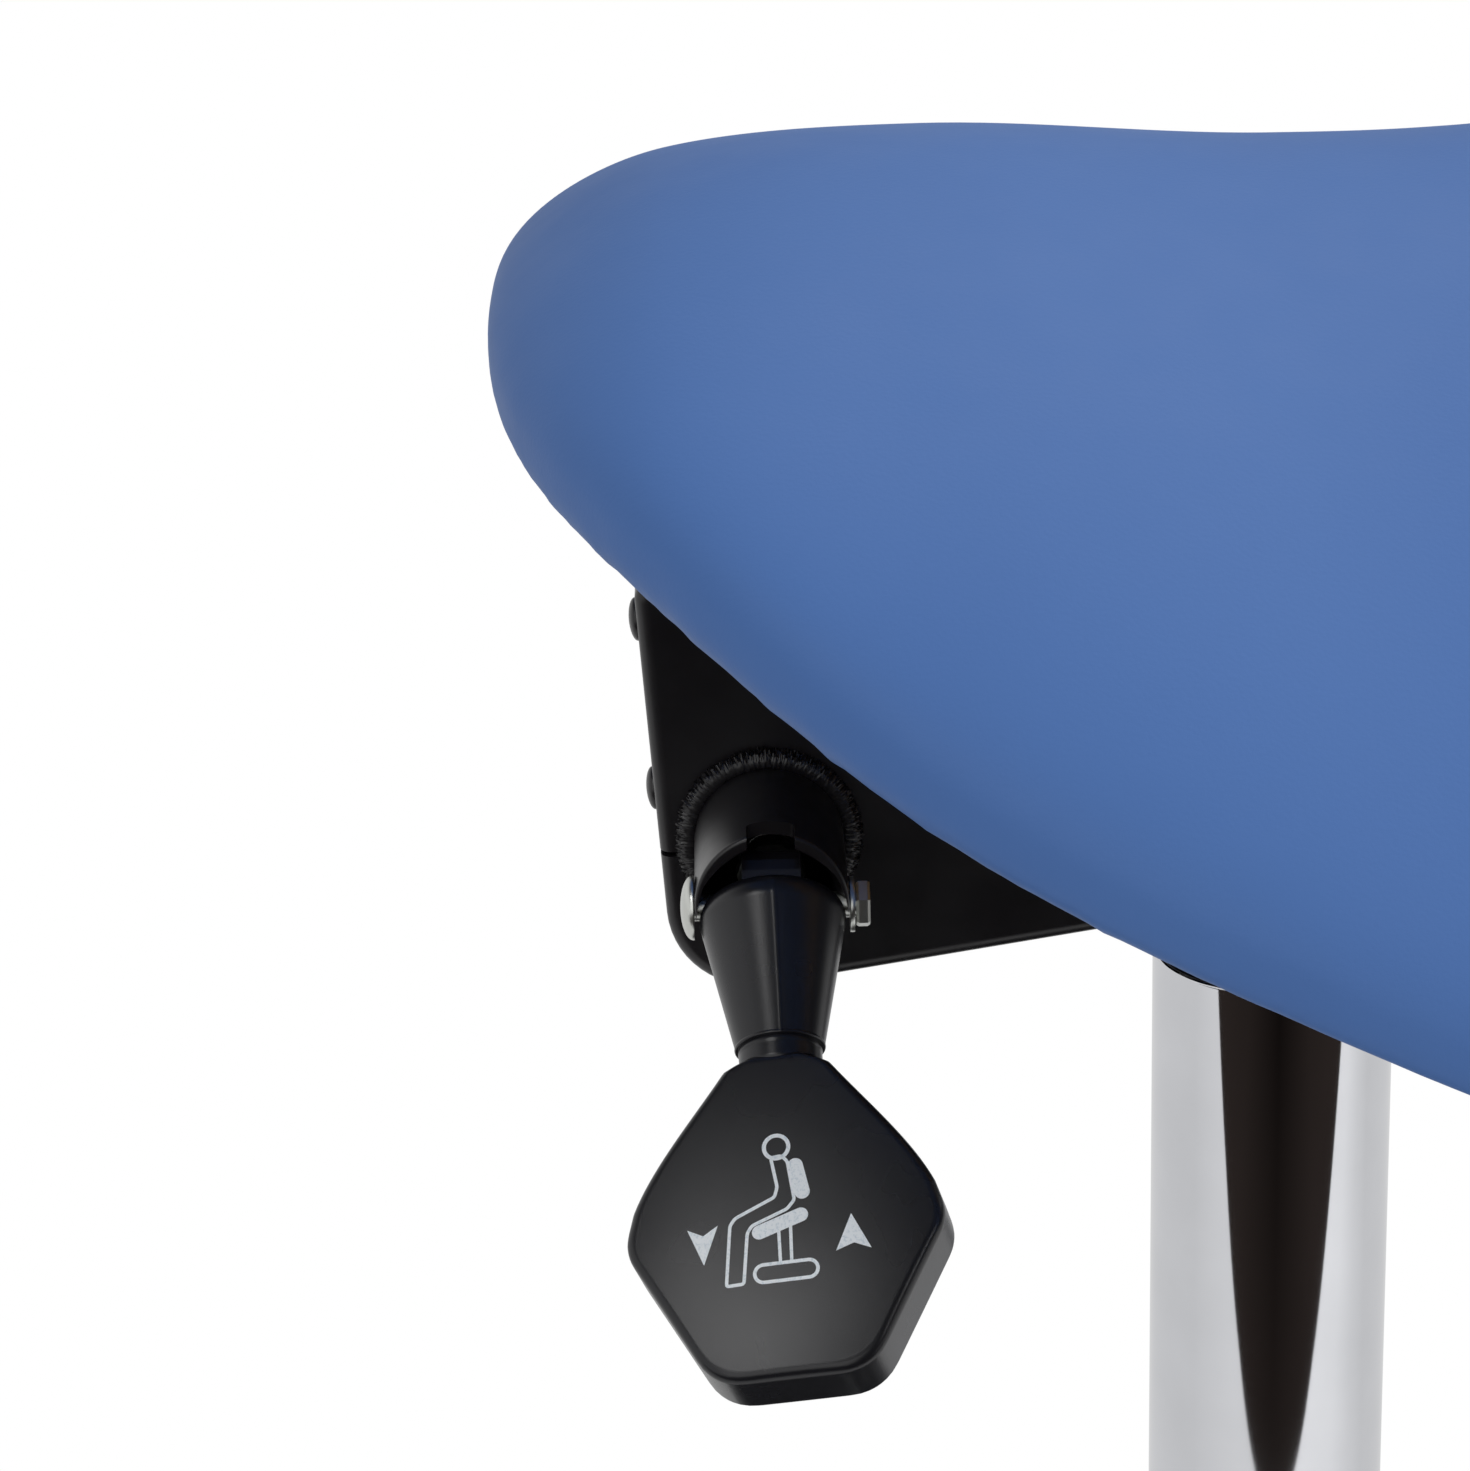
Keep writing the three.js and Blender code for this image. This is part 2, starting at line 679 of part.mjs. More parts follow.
function clampSpring() {
  const low = frameHalfWidth + 2 * gap;
  const high = clampHeadFace - clampHeadLength - gap;
  const radius = clampBoltRadius + turningGap + springWire / 2 + gap;
  const sides = 5;
  const stepsPerTurn = 8;
  const steps = stepsPerTurn * springTurns;
  const rise = high - low - springWire;
  const places = [];
  const faces = [];
  const pitchAngle = Math.atan2(rise, 2 * Math.PI * radius * springTurns);
  for (let i = 0; i <= steps; i += 1) {
    const turn = (2 * Math.PI * i) / stepsPerTurn;
    const out = new THREE.Vector3(0, Math.cos(turn), Math.sin(turn));
    const along = new THREE.Vector3(Math.cos(pitchAngle), 0, 0);
    along.addScaledVector(new THREE.Vector3(0, -Math.sin(turn), Math.cos(turn)), -Math.sin(pitchAngle));
    const centre = out.clone().multiplyScalar(radius);
    centre.x = low + springWire / 2 + (rise * i) / steps;
    for (let side = 0; side < sides; side += 1) {
      const angle = (2 * Math.PI * side) / sides;
      const point = centre.clone();
      point.addScaledVector(out, (springWire / 2) * Math.cos(angle));
      point.addScaledVector(along, (springWire / 2) * Math.sin(angle));
      places.push(point.x, point.y, point.z);
    }
  }
  for (let i = 0; i < steps; i += 1) {
    for (let side = 0; side < sides; side += 1) {
      const next = (side + 1) % sides;
      const [a, b] = [i * sides + side, i * sides + next];
      faces.push(a, b, b + sides, a, b + sides, a + sides);
    }
  }
  for (let side = 1; side < sides - 1; side += 1) {
    faces.push(0, side + 1, side);
    faces.push(steps * sides, steps * sides + side, steps * sides + side + 1);
  }
  const wire = new THREE.BufferGeometry();
  wire.setAttribute("position", new THREE.Float32BufferAttribute(places, 3));
  wire.setIndex(faces);
  return wire;
}

// The sleeve tapers from a domed shoulder inside the tube's mouth to the neck of the paddle.
const sleeveDomeShares = [[0, 1], [0.42, 0.95], [0.66, 0.75], [0.84, 0.5], [0.96, 0.2], [1, 0]];

function sleeveProfile(grow) {
  const dome = sleeveDomeShares.map(([across, down]) => {
    return [across * (sleeveTopRadius + grow), sleeveShoulder - down * (sleeveDome + grow)];
  });
  return [...dome, [sleeveNeckRadius + grow, sleeveLength], [0, sleeveLength]];
}

// The lever droops from a point near its pivot, a little askew in the tube's wide mouth.
const tiltLever = new THREE.Group();
tiltLever.position.set(camCentre + camRadius / 4, 0, -leverLineDrop);
tiltLever.rotation.set(0, degrees(leverDroop), degrees(leverSkew), "ZYX");
tiltLever.updateMatrix();
lock.add(tiltLever);

function leverTube() {
  const near = frameHalfWidth + gap;
  const wall = turned([
    [boreRadius, near], [leverTubeRadius + weldReach, near],
    [leverTubeRadius + 0.8 * weldReach, near + 0.6 * weldReach], [leverTubeRadius, near + weldReach],
    [leverTubeRadius, tubeMouth], [boreRadius, tubeMouth],
  ], wideFacets);
  const far = leverTubeRadius + overrun;
  const half = notchWidth / 2;
  const notch = block(tubeMouth - notchDepth, tubeMouth + overrun, -half, half, 0, far);
  const bolt = alongY(rod(leverBoltRadius + gap, -far, far, smallFacets));
  bolt.translate(camCentre, 0, -camOffset);
  const swings = [0, 0.25, 0.5, 0.75, 1].map((share) => {
    const sweep = alongX(turned(sleeveProfile(turningGap), midFacets)).applyMatrix4(tiltLever.matrix);
    sweep.translate(-camCentre, 0, camOffset).rotateY(-degrees(leverLift) * share);
    return sweep.translate(camCentre, 0, -camOffset);
  });
  return cut(alongX(wall), notch, bolt, ...swings);
}

function makeLock() {
  add(lock, "lever_tube", leverTube(), blackSteel);
  const hole = clampBoltRadius + turningGap;
  const flank = frameHalfWidth - frameSteel - gap;
  const spacer = tube(hole, spacerRadius, jawFace + gap, flank, smallFacets);
  add(lock, "clamp_spacer", alongX(spacer), darkSteel);
  add(lock, "clamp_jaw", alongX(tube(hole, discRadius, discFace + gap, jawFace, midFacets)), darkSteel);
  const disc = () => alongX(tube(hole, discRadius, armHalf + gap, discFace, midFacets));
  add(lock, "friction_disc_near", disc(), brakeFibre);
  add(lock, "friction_disc_far", disc().rotateZ(Math.PI), brakeFibre);
  add(lock, "clamp_spring", clampSpring(), zincSteel);
  const tail = -jawFace - clampNutHeight - 2 * gap;
  const bolt = turned([
    [0, tail], [clampBoltRadius, tail],
    [clampBoltRadius, clampHeadFace - clampHeadLength], [clampHeadRadius, clampHeadFace - clampHeadLength],
    [clampHeadRadius, clampHeadFace], [0, clampHeadFace],
  ], smallFacets);
  add(lock, "clamp_bolt", alongX(bolt), zincSteel);
  const plateFace = clampNutHeight + jawThickness;
  const nutBore = rod(clampBoltRadius + gap, -overrun, plateFace + overrun, smallFacets);
  const plate = rod(discRadius, clampNutHeight, plateFace, midFacets);
  const nut = cut(join(hexagon(clampNutFlats, 0, clampNutHeight + jawThickness / 2), plate), nutBore);
  add(lock, "clamp_nut", alongX(nut).translate(-jawFace - clampNutHeight, 0, 0), zincSteel);
}

// The pivot bolt crosses the tube's mouth a little under its middle.
function makeLeverBolt() {
  const seat = leverTubeRadius + gap / 2;
  const washerFace = seat + leverWasherThickness;
  const nutFace = washerFace + gap;
  const bolt = turned([
    [0, -seat - leverBoltHeadHeight], [0.55 * leverBoltHeadRadius, -seat - 0.92 * leverBoltHeadHeight],
    [0.88 * leverBoltHeadRadius, -seat - 0.6 * leverBoltHeadHeight],
    [leverBoltHeadRadius, -seat], [leverBoltRadius, -seat],
    [leverBoltRadius, nutFace + leverNutHeight + gap], [0, nutFace + leverNutHeight + gap],
  ], smallFacets);
  const washer = tube(leverBoltRadius + gap, leverWasherRadius, seat, washerFace, smallFacets);
  const bore = rod(leverBoltRadius + gap, -overrun, nutFace + leverNutHeight + overrun, smallFacets);
  const nut = cut(hexagon(leverNutFlats, nutFace, nutFace + leverNutHeight), bore);
  for (const [name, piece] of [["lever_bolt", bolt], ["lever_washer", washer], ["lever_nut", nut]]) {
    add(lock, name, alongY(piece).translate(camCentre, 0, -camOffset), zincSteel);
  }
}

// The paddle's outline along the lever (x) and across it (y): it widens from the neck to its waist in
// a full curve, then narrows straight to its end. Shares run from its start to its waist.
const paddleSpreadShares = [[0.14, 0.37], [0.34, 0.6], [0.54, 0.74], [0.76, 0.915]];

function paddleOutline(inset) {
  const waist = paddleHalfWidth - inset;
  const root = sleeveLength + paddleShoulder;
  const start = root + inset;
  const end = root + paddleLength - inset;
  const middle = root + paddleWaistReach;
  const endHalf = paddleEndHalfWidth - inset / 2;
  const side = paddleSpreadShares.map(([along, across]) => {
    return [start + along * (middle - start), across * waist, paddleCorner];
  });
  side.unshift([start, sleeveNeckRadius - inset / 2, 0]);
  side.push([middle, waist, paddleCorner], [end, endHalf, paddleCorner]);
  const mirrored = side.map(([x, y, reach]) => [x, -y, reach]).reverse();
  return roundedShape([...side, ...mirrored]);
}

// A closed outline whose corners are rounded by curves that start and end a set way from each corner.
function roundedShape(corners) {
  const shape = new THREE.Shape();
  const at = (i) => new THREE.Vector2(corners[i][0], corners[i][1]);
  corners.forEach((corner, i) => {
    const here = at(i);
    const before = at((i + corners.length - 1) % corners.length);
    const after = at((i + 1) % corners.length);
    const reach = Math.min(corner[2], here.distanceTo(before) / 2, here.distanceTo(after) / 2);
    const into = here.clone().lerp(before, reach / here.distanceTo(before));
    const out = here.clone().lerp(after, reach / here.distanceTo(after));
    if (i === 0) shape.moveTo(into.x, into.y);
    else shape.lineTo(into.x, into.y);
    if (reach > 0) shape.quadraticCurveTo(here.x, here.y, out.x, out.y);
  });
  return shape;
}

function paddle(shankRadius) {
  const plate = new THREE.ExtrudeGeometry(paddleOutline(paddleEdge), {
    depth: paddleThickness - 2 * paddleEdge,
    bevelThickness: paddleEdge,
    bevelSize: paddleEdge,
    bevelSegments: 3,
    curveSegments: 2,
  });
  plate.translate(0, 0, -paddleThickness / 2 + paddleEdge);
  const root = sleeveLength + gap;
  const neck = alongX(rod(sleeveNeckRadius - gap, root, root + neckLength + paddleCorner, midFacets));
  const socket = alongX(rod(shankRadius + gap, 0, sleeveLength + neckLength, smallFacets));
  return cut(join(plate, neck), socket);
}

function leverSleeve(shankRadius) {
  const shank = alongX(rod(shankRadius + gap, -sleeveDome, sleeveLength + overrun, smallFacets));
  return cut(alongX(turned(sleeveProfile(0), midFacets)), shank);
}

// The lever's steel end: an eye that turns off-centre on the pivot bolt, so that lifting the lever
// pushes the clamp bolt in, and a rod for the sleeve and the paddle.
function makeTiltLever() {
  const half = camWidth / 2;
  const eye = alongY(rod(camRadius, -half, half, midFacets)).translate(camCentre, 0, 0);
  const shank = alongX(rod(leverRodRadius, 0, sleeveLength + neckLength - gap, smallFacets));
  shank.applyMatrix4(tiltLever.matrix);
  const bore = alongY(rod(leverBoltRadius + gap, -camWidth, camWidth, smallFacets));
  bore.translate(camCentre, 0, -camOffset);
  add(lock, "tilt_lever_cam", cut(join(eye, shank), bore), blackSteel);
  const back = tiltLever.matrix.clone().invert();
  const eyeWay = alongY(rod(camRadius + gap, -half - gap, half + gap, midFacets));
  eyeWay.translate(camCentre, 0, 0).applyMatrix4(back);
  const boltWay = alongY(rod(leverBoltRadius + turningGap, -leverTubeRadius, leverTubeRadius, smallFacets));
  boltWay.translate(camCentre, 0, -camOffset).applyMatrix4(back);
  add(tiltLever, "tilt_lever_sleeve", cut(leverSleeve(leverRodRadius), eyeWay, boltWay), blackPlastic);
  add(tiltLever, "tilt_lever_paddle", paddle(leverRodRadius).rotateX(degrees(paddleRoll)), blackPlastic);
}

// Column carrier: a folded box round the taper socket, with cheeks for the tilt pivot, ears for the
// height lever's fulcrum and the slotted arm of the tilt lock. Drawn about the tilt pivot.
const carrier = new THREE.Group();
carrier.position.z = pivotHeight;
stool.add(carrier);

function clampArm() {
  const radius = Math.hypot(lockForward, lockDrop);
  const middle = Math.PI + Math.atan2(lockDrop, lockForward);
  const swing = degrees(slotSwing);
  const slotHalf = clampBoltRadius + turningGap;
  const rimSwing = swing + (slotHalf + slotRim) / radius;
  const [inner, outer] = [radius - slotHalf - slotRim, radius + slotHalf + slotRim];
  const shape = new THREE.Shape();
  shape.absarc(0, 0, outer, middle - rimSwing, middle + rimSwing, false);
  shape.lineTo(-carrierFront + carrierPlate / 2, -carrierDrop);
  shape.lineTo(-carrierFront + carrierPlate / 2, 0);
  shape.lineTo(inner * Math.cos(middle - rimSwing), inner * Math.sin(middle - rimSwing));
  const slot = new THREE.Path();
  const end = (angle) => [radius * Math.cos(angle), radius * Math.sin(angle)];
  slot.absarc(0, 0, radius + slotHalf, middle - swing, middle + swing, false);
  slot.absarc(...end(middle + swing), slotHalf, middle + swing, middle + swing + Math.PI, false);
  slot.absarc(0, 0, radius - slotHalf, middle + swing, middle - swing, true);
  const turn = middle - swing + Math.PI;
  slot.absarc(...end(middle - swing), slotHalf, turn, turn + Math.PI, false);
  shape.holes.push(slot);
  return sidePlate(shape, -armHalf, armHalf, 3);
}

function makeCarrier() {
  const base = -carrierDrop;
  const top = studRadius + gap + cheekRim;
  const floorTop = base + carrierPlate;
  const floor = block(-cheekOuter, cheekOuter, -carrierFront, carrierRear, base, floorTop);
  const wall = block(-cheekOuter, cheekOuter, -carrierFront, -carrierFront + carrierPlate, base, top);
  const cheeks = [[-cheekOuter, -cheekInner], [cheekInner, cheekOuter]].map(([x0, x1]) =>
    block(x0, x1, -carrierFront, carrierRear, base, top));
  const earTip = -fulcrumOffset + fulcrumEarReach;
  const ears = [[-fulcrumEarOuter, -fulcrumEarInner], [fulcrumEarInner, fulcrumEarOuter]].map(([y0, y1]) =>
    block(-cheekInner - gap, earTip, y0, y1, -fulcrumEarReach, fulcrumEarReach));
  const socketHole = rod(socketRadius + gap, base - overrun, floorTop + overrun, midFacets);
  const nearHole = alongX(rod(studRadius + gap, cheekInner - overrun, cheekOuter + overrun, midFacets));
  const farHole = nearHole.clone().rotateZ(Math.PI);
  const pinReach = fulcrumEarOuter + overrun;
  const pinHole = alongY(rod(fulcrumRadius + gap, -pinReach, pinReach, smallFacets));
  pinHole.translate(-fulcrumOffset, 0, 0);
  const body = join(floor, wall, ...cheeks, ...ears, clampArm());
  add(carrier, "column_carrier", cut(body, socketHole, nearHole, farHole, pinHole), blackSteel);
  const pin = alongY(rod(fulcrumRadius, -fulcrumEarOuter - gap, fulcrumEarOuter + gap, smallFacets));
  add(carrier, "fulcrum_pin", pin.translate(-fulcrumOffset, 0, 0), zincSteel);
  const bore = cylinderRadius + gap;
  const topBore = taperTopRadius + gap;
  const socketTop = -socketDrop + socketLength;
  const socket = turned([
    [bore, -socketDrop], [socketRadius, -socketDrop], [socketRadius, socketTop], [topBore, socketTop],
  ], midFacets);
  add(carrier, "taper_socket", socket, darkSteel);
}

// The height lever rocks on its fulcrum pin: lifting its outer end presses the valve button.
function makeHeightLever() {
  const heightRodBend = frameHalfWidth + 2 * gap + studHeadHeight + heightRodProud;
  const finger = alongX(rod(heightRodRadius, -heightRodBend, heightRodFinger, smallFacets));
  const hubReach = fulcrumEarInner - gap;
  const hub = alongY(rod(heightRodRadius + fulcrumRadius, -hubReach, hubReach, smallFacets));
  hub.translate(-fulcrumOffset, 0, 0);
  const bore = alongY(rod(fulcrumRadius + gap, -fulcrumEarOuter, fulcrumEarOuter, smallFacets));
  bore.translate(-fulcrumOffset, 0, 0);
  const lever = new THREE.Group();
  lever.position.x = -heightRodBend;
  lever.rotation.y = Math.PI - degrees(leverDroop);
  lever.updateMatrix();
  carrier.add(lever);
  const reach = heightSleeveOffset + sleeveLength + neckLength - gap;
  const outer = alongX(rod(heightRodRadius, 0, reach, smallFacets)).applyMatrix4(lever.matrix);
  const knee = new THREE.SphereGeometry(heightRodRadius, smallFacets, smallFacets / 2);
  knee.translate(-heightRodBend, 0, 0);
  add(carrier, "height_lever_rod", cut(join(finger, hub, outer, knee), bore), blackSteel);
  const sleeve = leverSleeve(heightRodRadius).translate(heightSleeveOffset, 0, 0);
  const grip = paddle(heightRodRadius).translate(heightSleeveOffset, 0, 0);
  add(lever, "height_lever_sleeve", sleeve, blackPlastic);
  add(lever, "height_lever_paddle", grip, blackPlastic);
}

function makeColumn() {
  const bore = columnRadius - columnWall;
  const plateTop = columnBottom + columnFloor;
  const neckHole = pistonNeckRadius + turningGap;
  add(stool, "stand_tube", turned([
    [neckHole, columnBottom], [columnRadius, columnBottom], [columnRadius, columnTop],
    [bore, columnTop], [bore, plateTop], [neckHole, plateTop],
  ], tubeFacets), chrome);
  const slide = cylinderRadius + turningGap;
  const bushOuter = bore - gap;
  const flangeOuter = columnRadius - gap;
  const seat = columnTop + gap;
  add(stool, "guide_bush", turned([
    [slide, columnTop - bushLength], [bushOuter, columnTop - bushLength], [bushOuter, seat],
    [flangeOuter, seat], [flangeOuter, seat + bushFlange], [slide, seat + bushFlange],
  ], midFacets), blackPlastic);
  const inner = cylinderRadius - cylinderWall;
  const rodHole = pistonRodRadius + turningGap;
  const chamberLow = cylinderBottom + cylinderCap;
  const chamberTop = cylinderTop - cylinderHead;
  const pinHole = buttonRadius + turningGap;
  add(stool, "gas_cylinder", turned([
    [rodHole, cylinderBottom], [cylinderRadius, cylinderBottom], [cylinderRadius, cylinderTop - taperLength],
    [taperTopRadius, cylinderTop], [pinHole, cylinderTop], [pinHole, chamberTop], [inner, chamberTop],
    [inner, chamberLow], [rodHole, chamberLow],
  ], midFacets), darkSteel);
  const buttonTop = pivotHeight - heightRodRadius - gap;
  const button = rod(buttonRadius, cylinderTop - buttonDepth, buttonTop, smallFacets);
  add(stool, "valve_button", button, zincSteel);
  const race = (low) => tube(neckHole, raceRadius, low, low + raceThickness, midFacets);
  add(stool, "bearing_race_lower", race(lowerRace), darkSteel);
  add(stool, "bearing_balls", ballCage(ballLevel), zincSteel);
  add(stool, "bearing_race_upper", race(upperRace), darkSteel);
  const bufferTop = cylinderBottom - gap;
  const bufferPiece = tube(pistonRodRadius + gap, bufferRadius, bufferLow, bufferTop, midFacets);
  add(stool, "stop_buffer", bufferPiece, rubber);
  const clipTop = columnBottom - gap;
  const clip = tube(pistonNeckRadius + gap, clipRadius, clipTop - clipThickness, clipTop, smallFacets);
  add(stool, "retaining_clip", clip, zincSteel);
  const foot = clipTop - 2 * clipThickness;
  const piston = chamberLow + liftStroke + pistonRodRadius;
  add(stool, "piston_rod", turned([
    [0, foot], [pistonNeckRadius, foot], [pistonNeckRadius, bufferLow], [pistonRodRadius, bufferLow],
    [pistonRodRadius, piston], [inner - gap, piston], [inner - gap, piston + pistonThickness],
    [0, piston + pistonThickness],
  ], midFacets), zincSteel);
}

// A ring of balls in a thin cage.
function ballCage(low) {
  const count = 8;
  const pitch = (raceRadius + pistonNeckRadius + turningGap) / 2;
  const middle = low + ballRadius;
  const [web, rib] = [ballRadius / 2, ballRadius / 3];
  const cage = tube(pitch - web, pitch + web, middle - rib, middle + rib, 2 * count);
  const balls = [];
  for (let i = 0; i < count; i += 1) {
    const ball = new THREE.SphereGeometry(ballRadius, 6, 4).rotateX(Math.PI / 2);
    const turn = (2 * Math.PI * i) / count;
    balls.push(ball.translate(pitch * Math.cos(turn), pitch * Math.sin(turn), middle));
  }
  return join(cage, ...balls);
}

function rubberLayer(low, high) {
  const swell = (high - low) / 5;
  const rubberWaist = rubberRadius - rubberHollow;
  return turned([
    [0, low], [rubberRadius, low], [rubberWaist, low + swell],
    [rubberWaist, high - swell], [rubberRadius, high], [0, high],
  ], wideFacets);
}

// A low dome of one thickness, from the floor ring up to the opening round the wobble joint.
function baseCover() {
  const steps = 5;
  const low = plateHigh + gap;
  const outer = baseRadius - coverInset;
  const climb = coverRise - coverThickness;
  const top = [];
  const under = [];
  for (let i = 0; i <= steps; i += 1) {
    const turn = (Math.PI / 2) * (i / steps);
    const radius = outer - (outer - coverOpening) * (1 - Math.cos(turn));
    const height = low + coverThickness + climb * Math.sin(turn);
    top.push([radius, height]);
    under.push([radius - coverThickness * Math.cos(turn), Math.max(height - coverThickness, low)]);
  }
  return turned([[outer, low], ...top, ...under.reverse()], baseFacets);
}

function makeBase() {
  const lipInner = plateRadius + gap;
  const floorRingInner = baseRadius - floorRingWidth;
  const chamfer = floorRingHeight / 2;
  add(stool, "floor_ring", turned([
    [floorRingInner, 0], [baseRadius - chamfer, 0], [baseRadius, chamfer], [baseRadius, plateHigh],
    [lipInner, plateHigh], [lipInner, floorRingHeight], [floorRingInner, floorRingHeight],
  ], baseFacets), rubber);
  const boltPlaces = Array.from({ length: baseBoltCount }, (_, i) => {
    const turn = (2 * Math.PI * (i + 0.5)) / baseBoltCount;
    return [baseBoltCircle * Math.cos(turn), baseBoltCircle * Math.sin(turn)];
  });
  const holeLow = springPlateLow - baseBoltReach - gap;
  const holes = boltPlaces.map(([x, y]) => {
    return rod(boltRadius + gap, holeLow, springPlateHigh + overrun, smallFacets).translate(x, y, 0);
  });
  add(stool, "weight_plate", cut(rod(plateRadius, plateLow, plateHigh, baseFacets), ...holes), darkSteel);
  add(stool, "base_cover", baseCover(), blackPlastic);
  const springPlate = rod(springPlateRadius, springPlateLow, springPlateHigh, wideFacets);
  add(stool, "lower_spring_plate", cut(springPlate, ...holes), zincSteel);
  const reach = springPlateThickness + baseBoltReach - gap;
  boltPlaces.forEach(([x, y], i) => {
    const bolt = hexBolt(boltFlats, boltHeadHeight, boltRadius, reach).rotateX(Math.PI);
    add(stool, `base_bolt_${i + 1}`, bolt.translate(x, y, springPlateHigh + gap), zincSteel);
  });
  add(stool, "lower_rubber", rubberLayer(lowerRubberLow, lowerRubberHigh), rubber);
  add(stool, "interleaf_plate", rod(interleafRadius, interleafLow, interleafHigh, wideFacets), zincSteel);
  add(stool, "upper_rubber", rubberLayer(upperRubberLow, upperRubberHigh), rubber);
  const bore = columnRadius + gap;
  const ledge = columnBottom - gap;
  const well = ledge - 4 * clipThickness;
  const outer = bore + footWall;
  const lip = columnBottom + footGrip;
  add(stool, "foot_socket", turned([
    [0, flangeLow], [interleafRadius, flangeLow], [interleafRadius, flangeHigh],
    [outer + footTaper, flangeHigh + flangeThickness], [outer, lip],
    [bore, lip], [bore, ledge], [footLedgeRadius, ledge], [footLedgeRadius, well], [0, well],
  ], wideFacets), blackSteel);
}

makeBase();
makeColumn();
makeCarrier();
makePivots();
makeFrame();
makeLock();
makeLeverBolt();
makeTiltLever();
makeHeightLever();
makeSeat();

export default stool;
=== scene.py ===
# %% [markdown]
# # A saddle stool on a wobble base
#
# The object is a blue vinyl saddle on a black folded steel frame, with a drooping tilt lever, a
# chrome column and a round weighted base. Its measured model is loaded first as a fixed frame, and
# every piece made here is drawn straight into the place that the frame gives it. Lengths are written
# in millimetres, as on a drawing, and turned into metres when a mesh is made.

# %% Loading the frame
import json
import math
from collections import namedtuple

import bmesh
import bpy
import numpy as np
from mathutils import Matrix


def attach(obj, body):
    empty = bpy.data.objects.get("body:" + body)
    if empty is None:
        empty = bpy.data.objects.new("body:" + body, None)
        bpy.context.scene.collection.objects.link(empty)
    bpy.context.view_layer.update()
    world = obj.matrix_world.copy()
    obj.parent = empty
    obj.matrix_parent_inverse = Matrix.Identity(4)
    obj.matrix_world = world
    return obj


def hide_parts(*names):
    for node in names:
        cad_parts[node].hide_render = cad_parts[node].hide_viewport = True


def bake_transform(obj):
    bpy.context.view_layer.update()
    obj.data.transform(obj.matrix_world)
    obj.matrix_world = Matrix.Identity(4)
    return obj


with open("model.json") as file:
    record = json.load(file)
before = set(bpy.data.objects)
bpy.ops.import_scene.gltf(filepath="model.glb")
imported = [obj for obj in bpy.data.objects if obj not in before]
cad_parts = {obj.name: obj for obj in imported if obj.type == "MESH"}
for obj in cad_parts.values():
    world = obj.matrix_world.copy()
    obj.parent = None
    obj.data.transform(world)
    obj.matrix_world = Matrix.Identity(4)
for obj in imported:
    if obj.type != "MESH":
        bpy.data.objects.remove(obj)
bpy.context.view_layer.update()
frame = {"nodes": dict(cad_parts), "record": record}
MM = 0.001

# %% [markdown]
# ## Shells from numbers
#
# A surface can be modelled by hand, or worked out: a grid of points, one row for each step of one
# parameter and one column for each step of the other. Working it out keeps the piece as exact as the
# measured solids. A shell here is a pair of arrays, its points in millimetres and its faces.

# %% Grid faces, and shells turned and moved
def around(count):
    """Even steps of a full turn, in radians."""
    return np.linspace(0, 2 * np.pi, count, endpoint=False)


def unit(rows):
    """Each row scaled to a length of one."""
    return rows / np.linalg.norm(rows, axis=-1, keepdims=True)


def grid_faces(rows, columns, wrap_rows=True, wrap_columns=True):
    """Faces between neighbours: point (row, column) joins the next column, then the next row."""
    i = np.arange(rows if wrap_rows else rows - 1)
    j = np.arange(columns if wrap_columns else columns - 1)
    row, column = np.meshgrid(i, j, indexing="ij")
    below, right = (row + 1) % rows, (column + 1) % columns
    here, lower = row * columns, below * columns
    corners = [here + column, here + right, lower + right, lower + column]
    return np.stack(corners, -1).reshape(-1, 4).tolist()


def turn(axis, angle):
    """The matrix of a turn by an angle in degrees about x, y or z, by the right-hand rule."""
    c, s = math.cos(math.radians(angle)), math.sin(math.radians(angle))
    table = {"x": [[1, 0, 0], [0, c, -s], [0, s, c]], "y": [[c, 0, s], [0, 1, 0], [-s, 0, c]]}
    return np.array(table.get(axis, [[c, -s, 0], [s, c, 0], [0, 0, 1]]), float)


def placed(shell, matrix=np.eye(3), offset=(0, 0, 0)):
    """Every point is turned by the matrix, then moved by the offset."""
    points, faces = shell
    return np.asarray(points, float).reshape(-1, 3) @ np.asarray(matrix).T + np.asarray(offset, float), faces


# A lathe's shape is drawn about z; these lay it along x or along y.
ALONG_X = np.array([[0, 0, 1], [0, 1, 0], [-1, 0, 0]], float)
ALONG_Y = np.array([[1, 0, 0], [0, 0, 1], [0, -1, 0]], float)

# %% [markdown]
# Almost no real edge is knife sharp, and the small curve on an edge is what catches the light. So
# every outline has its corners eased before it is carried round or pulled out into a solid.

# %% Eased outlines, lathes and plates
def eased(corners, radius, steps=4):
    """Each corner of a closed outline becomes a parabola that leaves both sides radius from it."""
    here = np.asarray(corners, float)
    before, after = np.roll(here, 1, 0) - here, np.roll(here, -1, 0) - here
    reach_before = np.maximum(np.linalg.norm(before, axis=1, keepdims=True), 1e-9)
    reach_after = np.maximum(np.linalg.norm(after, axis=1, keepdims=True), 1e-9)
    radii = np.broadcast_to(np.asarray(radius, float), len(here))[:, None]
    on_axis = (np.abs(here[:, :1]) < 1e-9) & (here.shape[1] == 2)
    cut = np.minimum(radii, 0.48 * np.minimum(reach_before, reach_after)) * ~on_axis
    start, end = here + before / reach_before * cut, here + after / reach_after * cut
    t = np.linspace(0, 1, steps + 1)[None, :, None]
    curve = (1 - t) ** 2 * start[:, None] + 2 * t * (1 - t) * here[:, None] + t ** 2 * end[:, None]
    return curve.reshape(-1, here.shape[1])


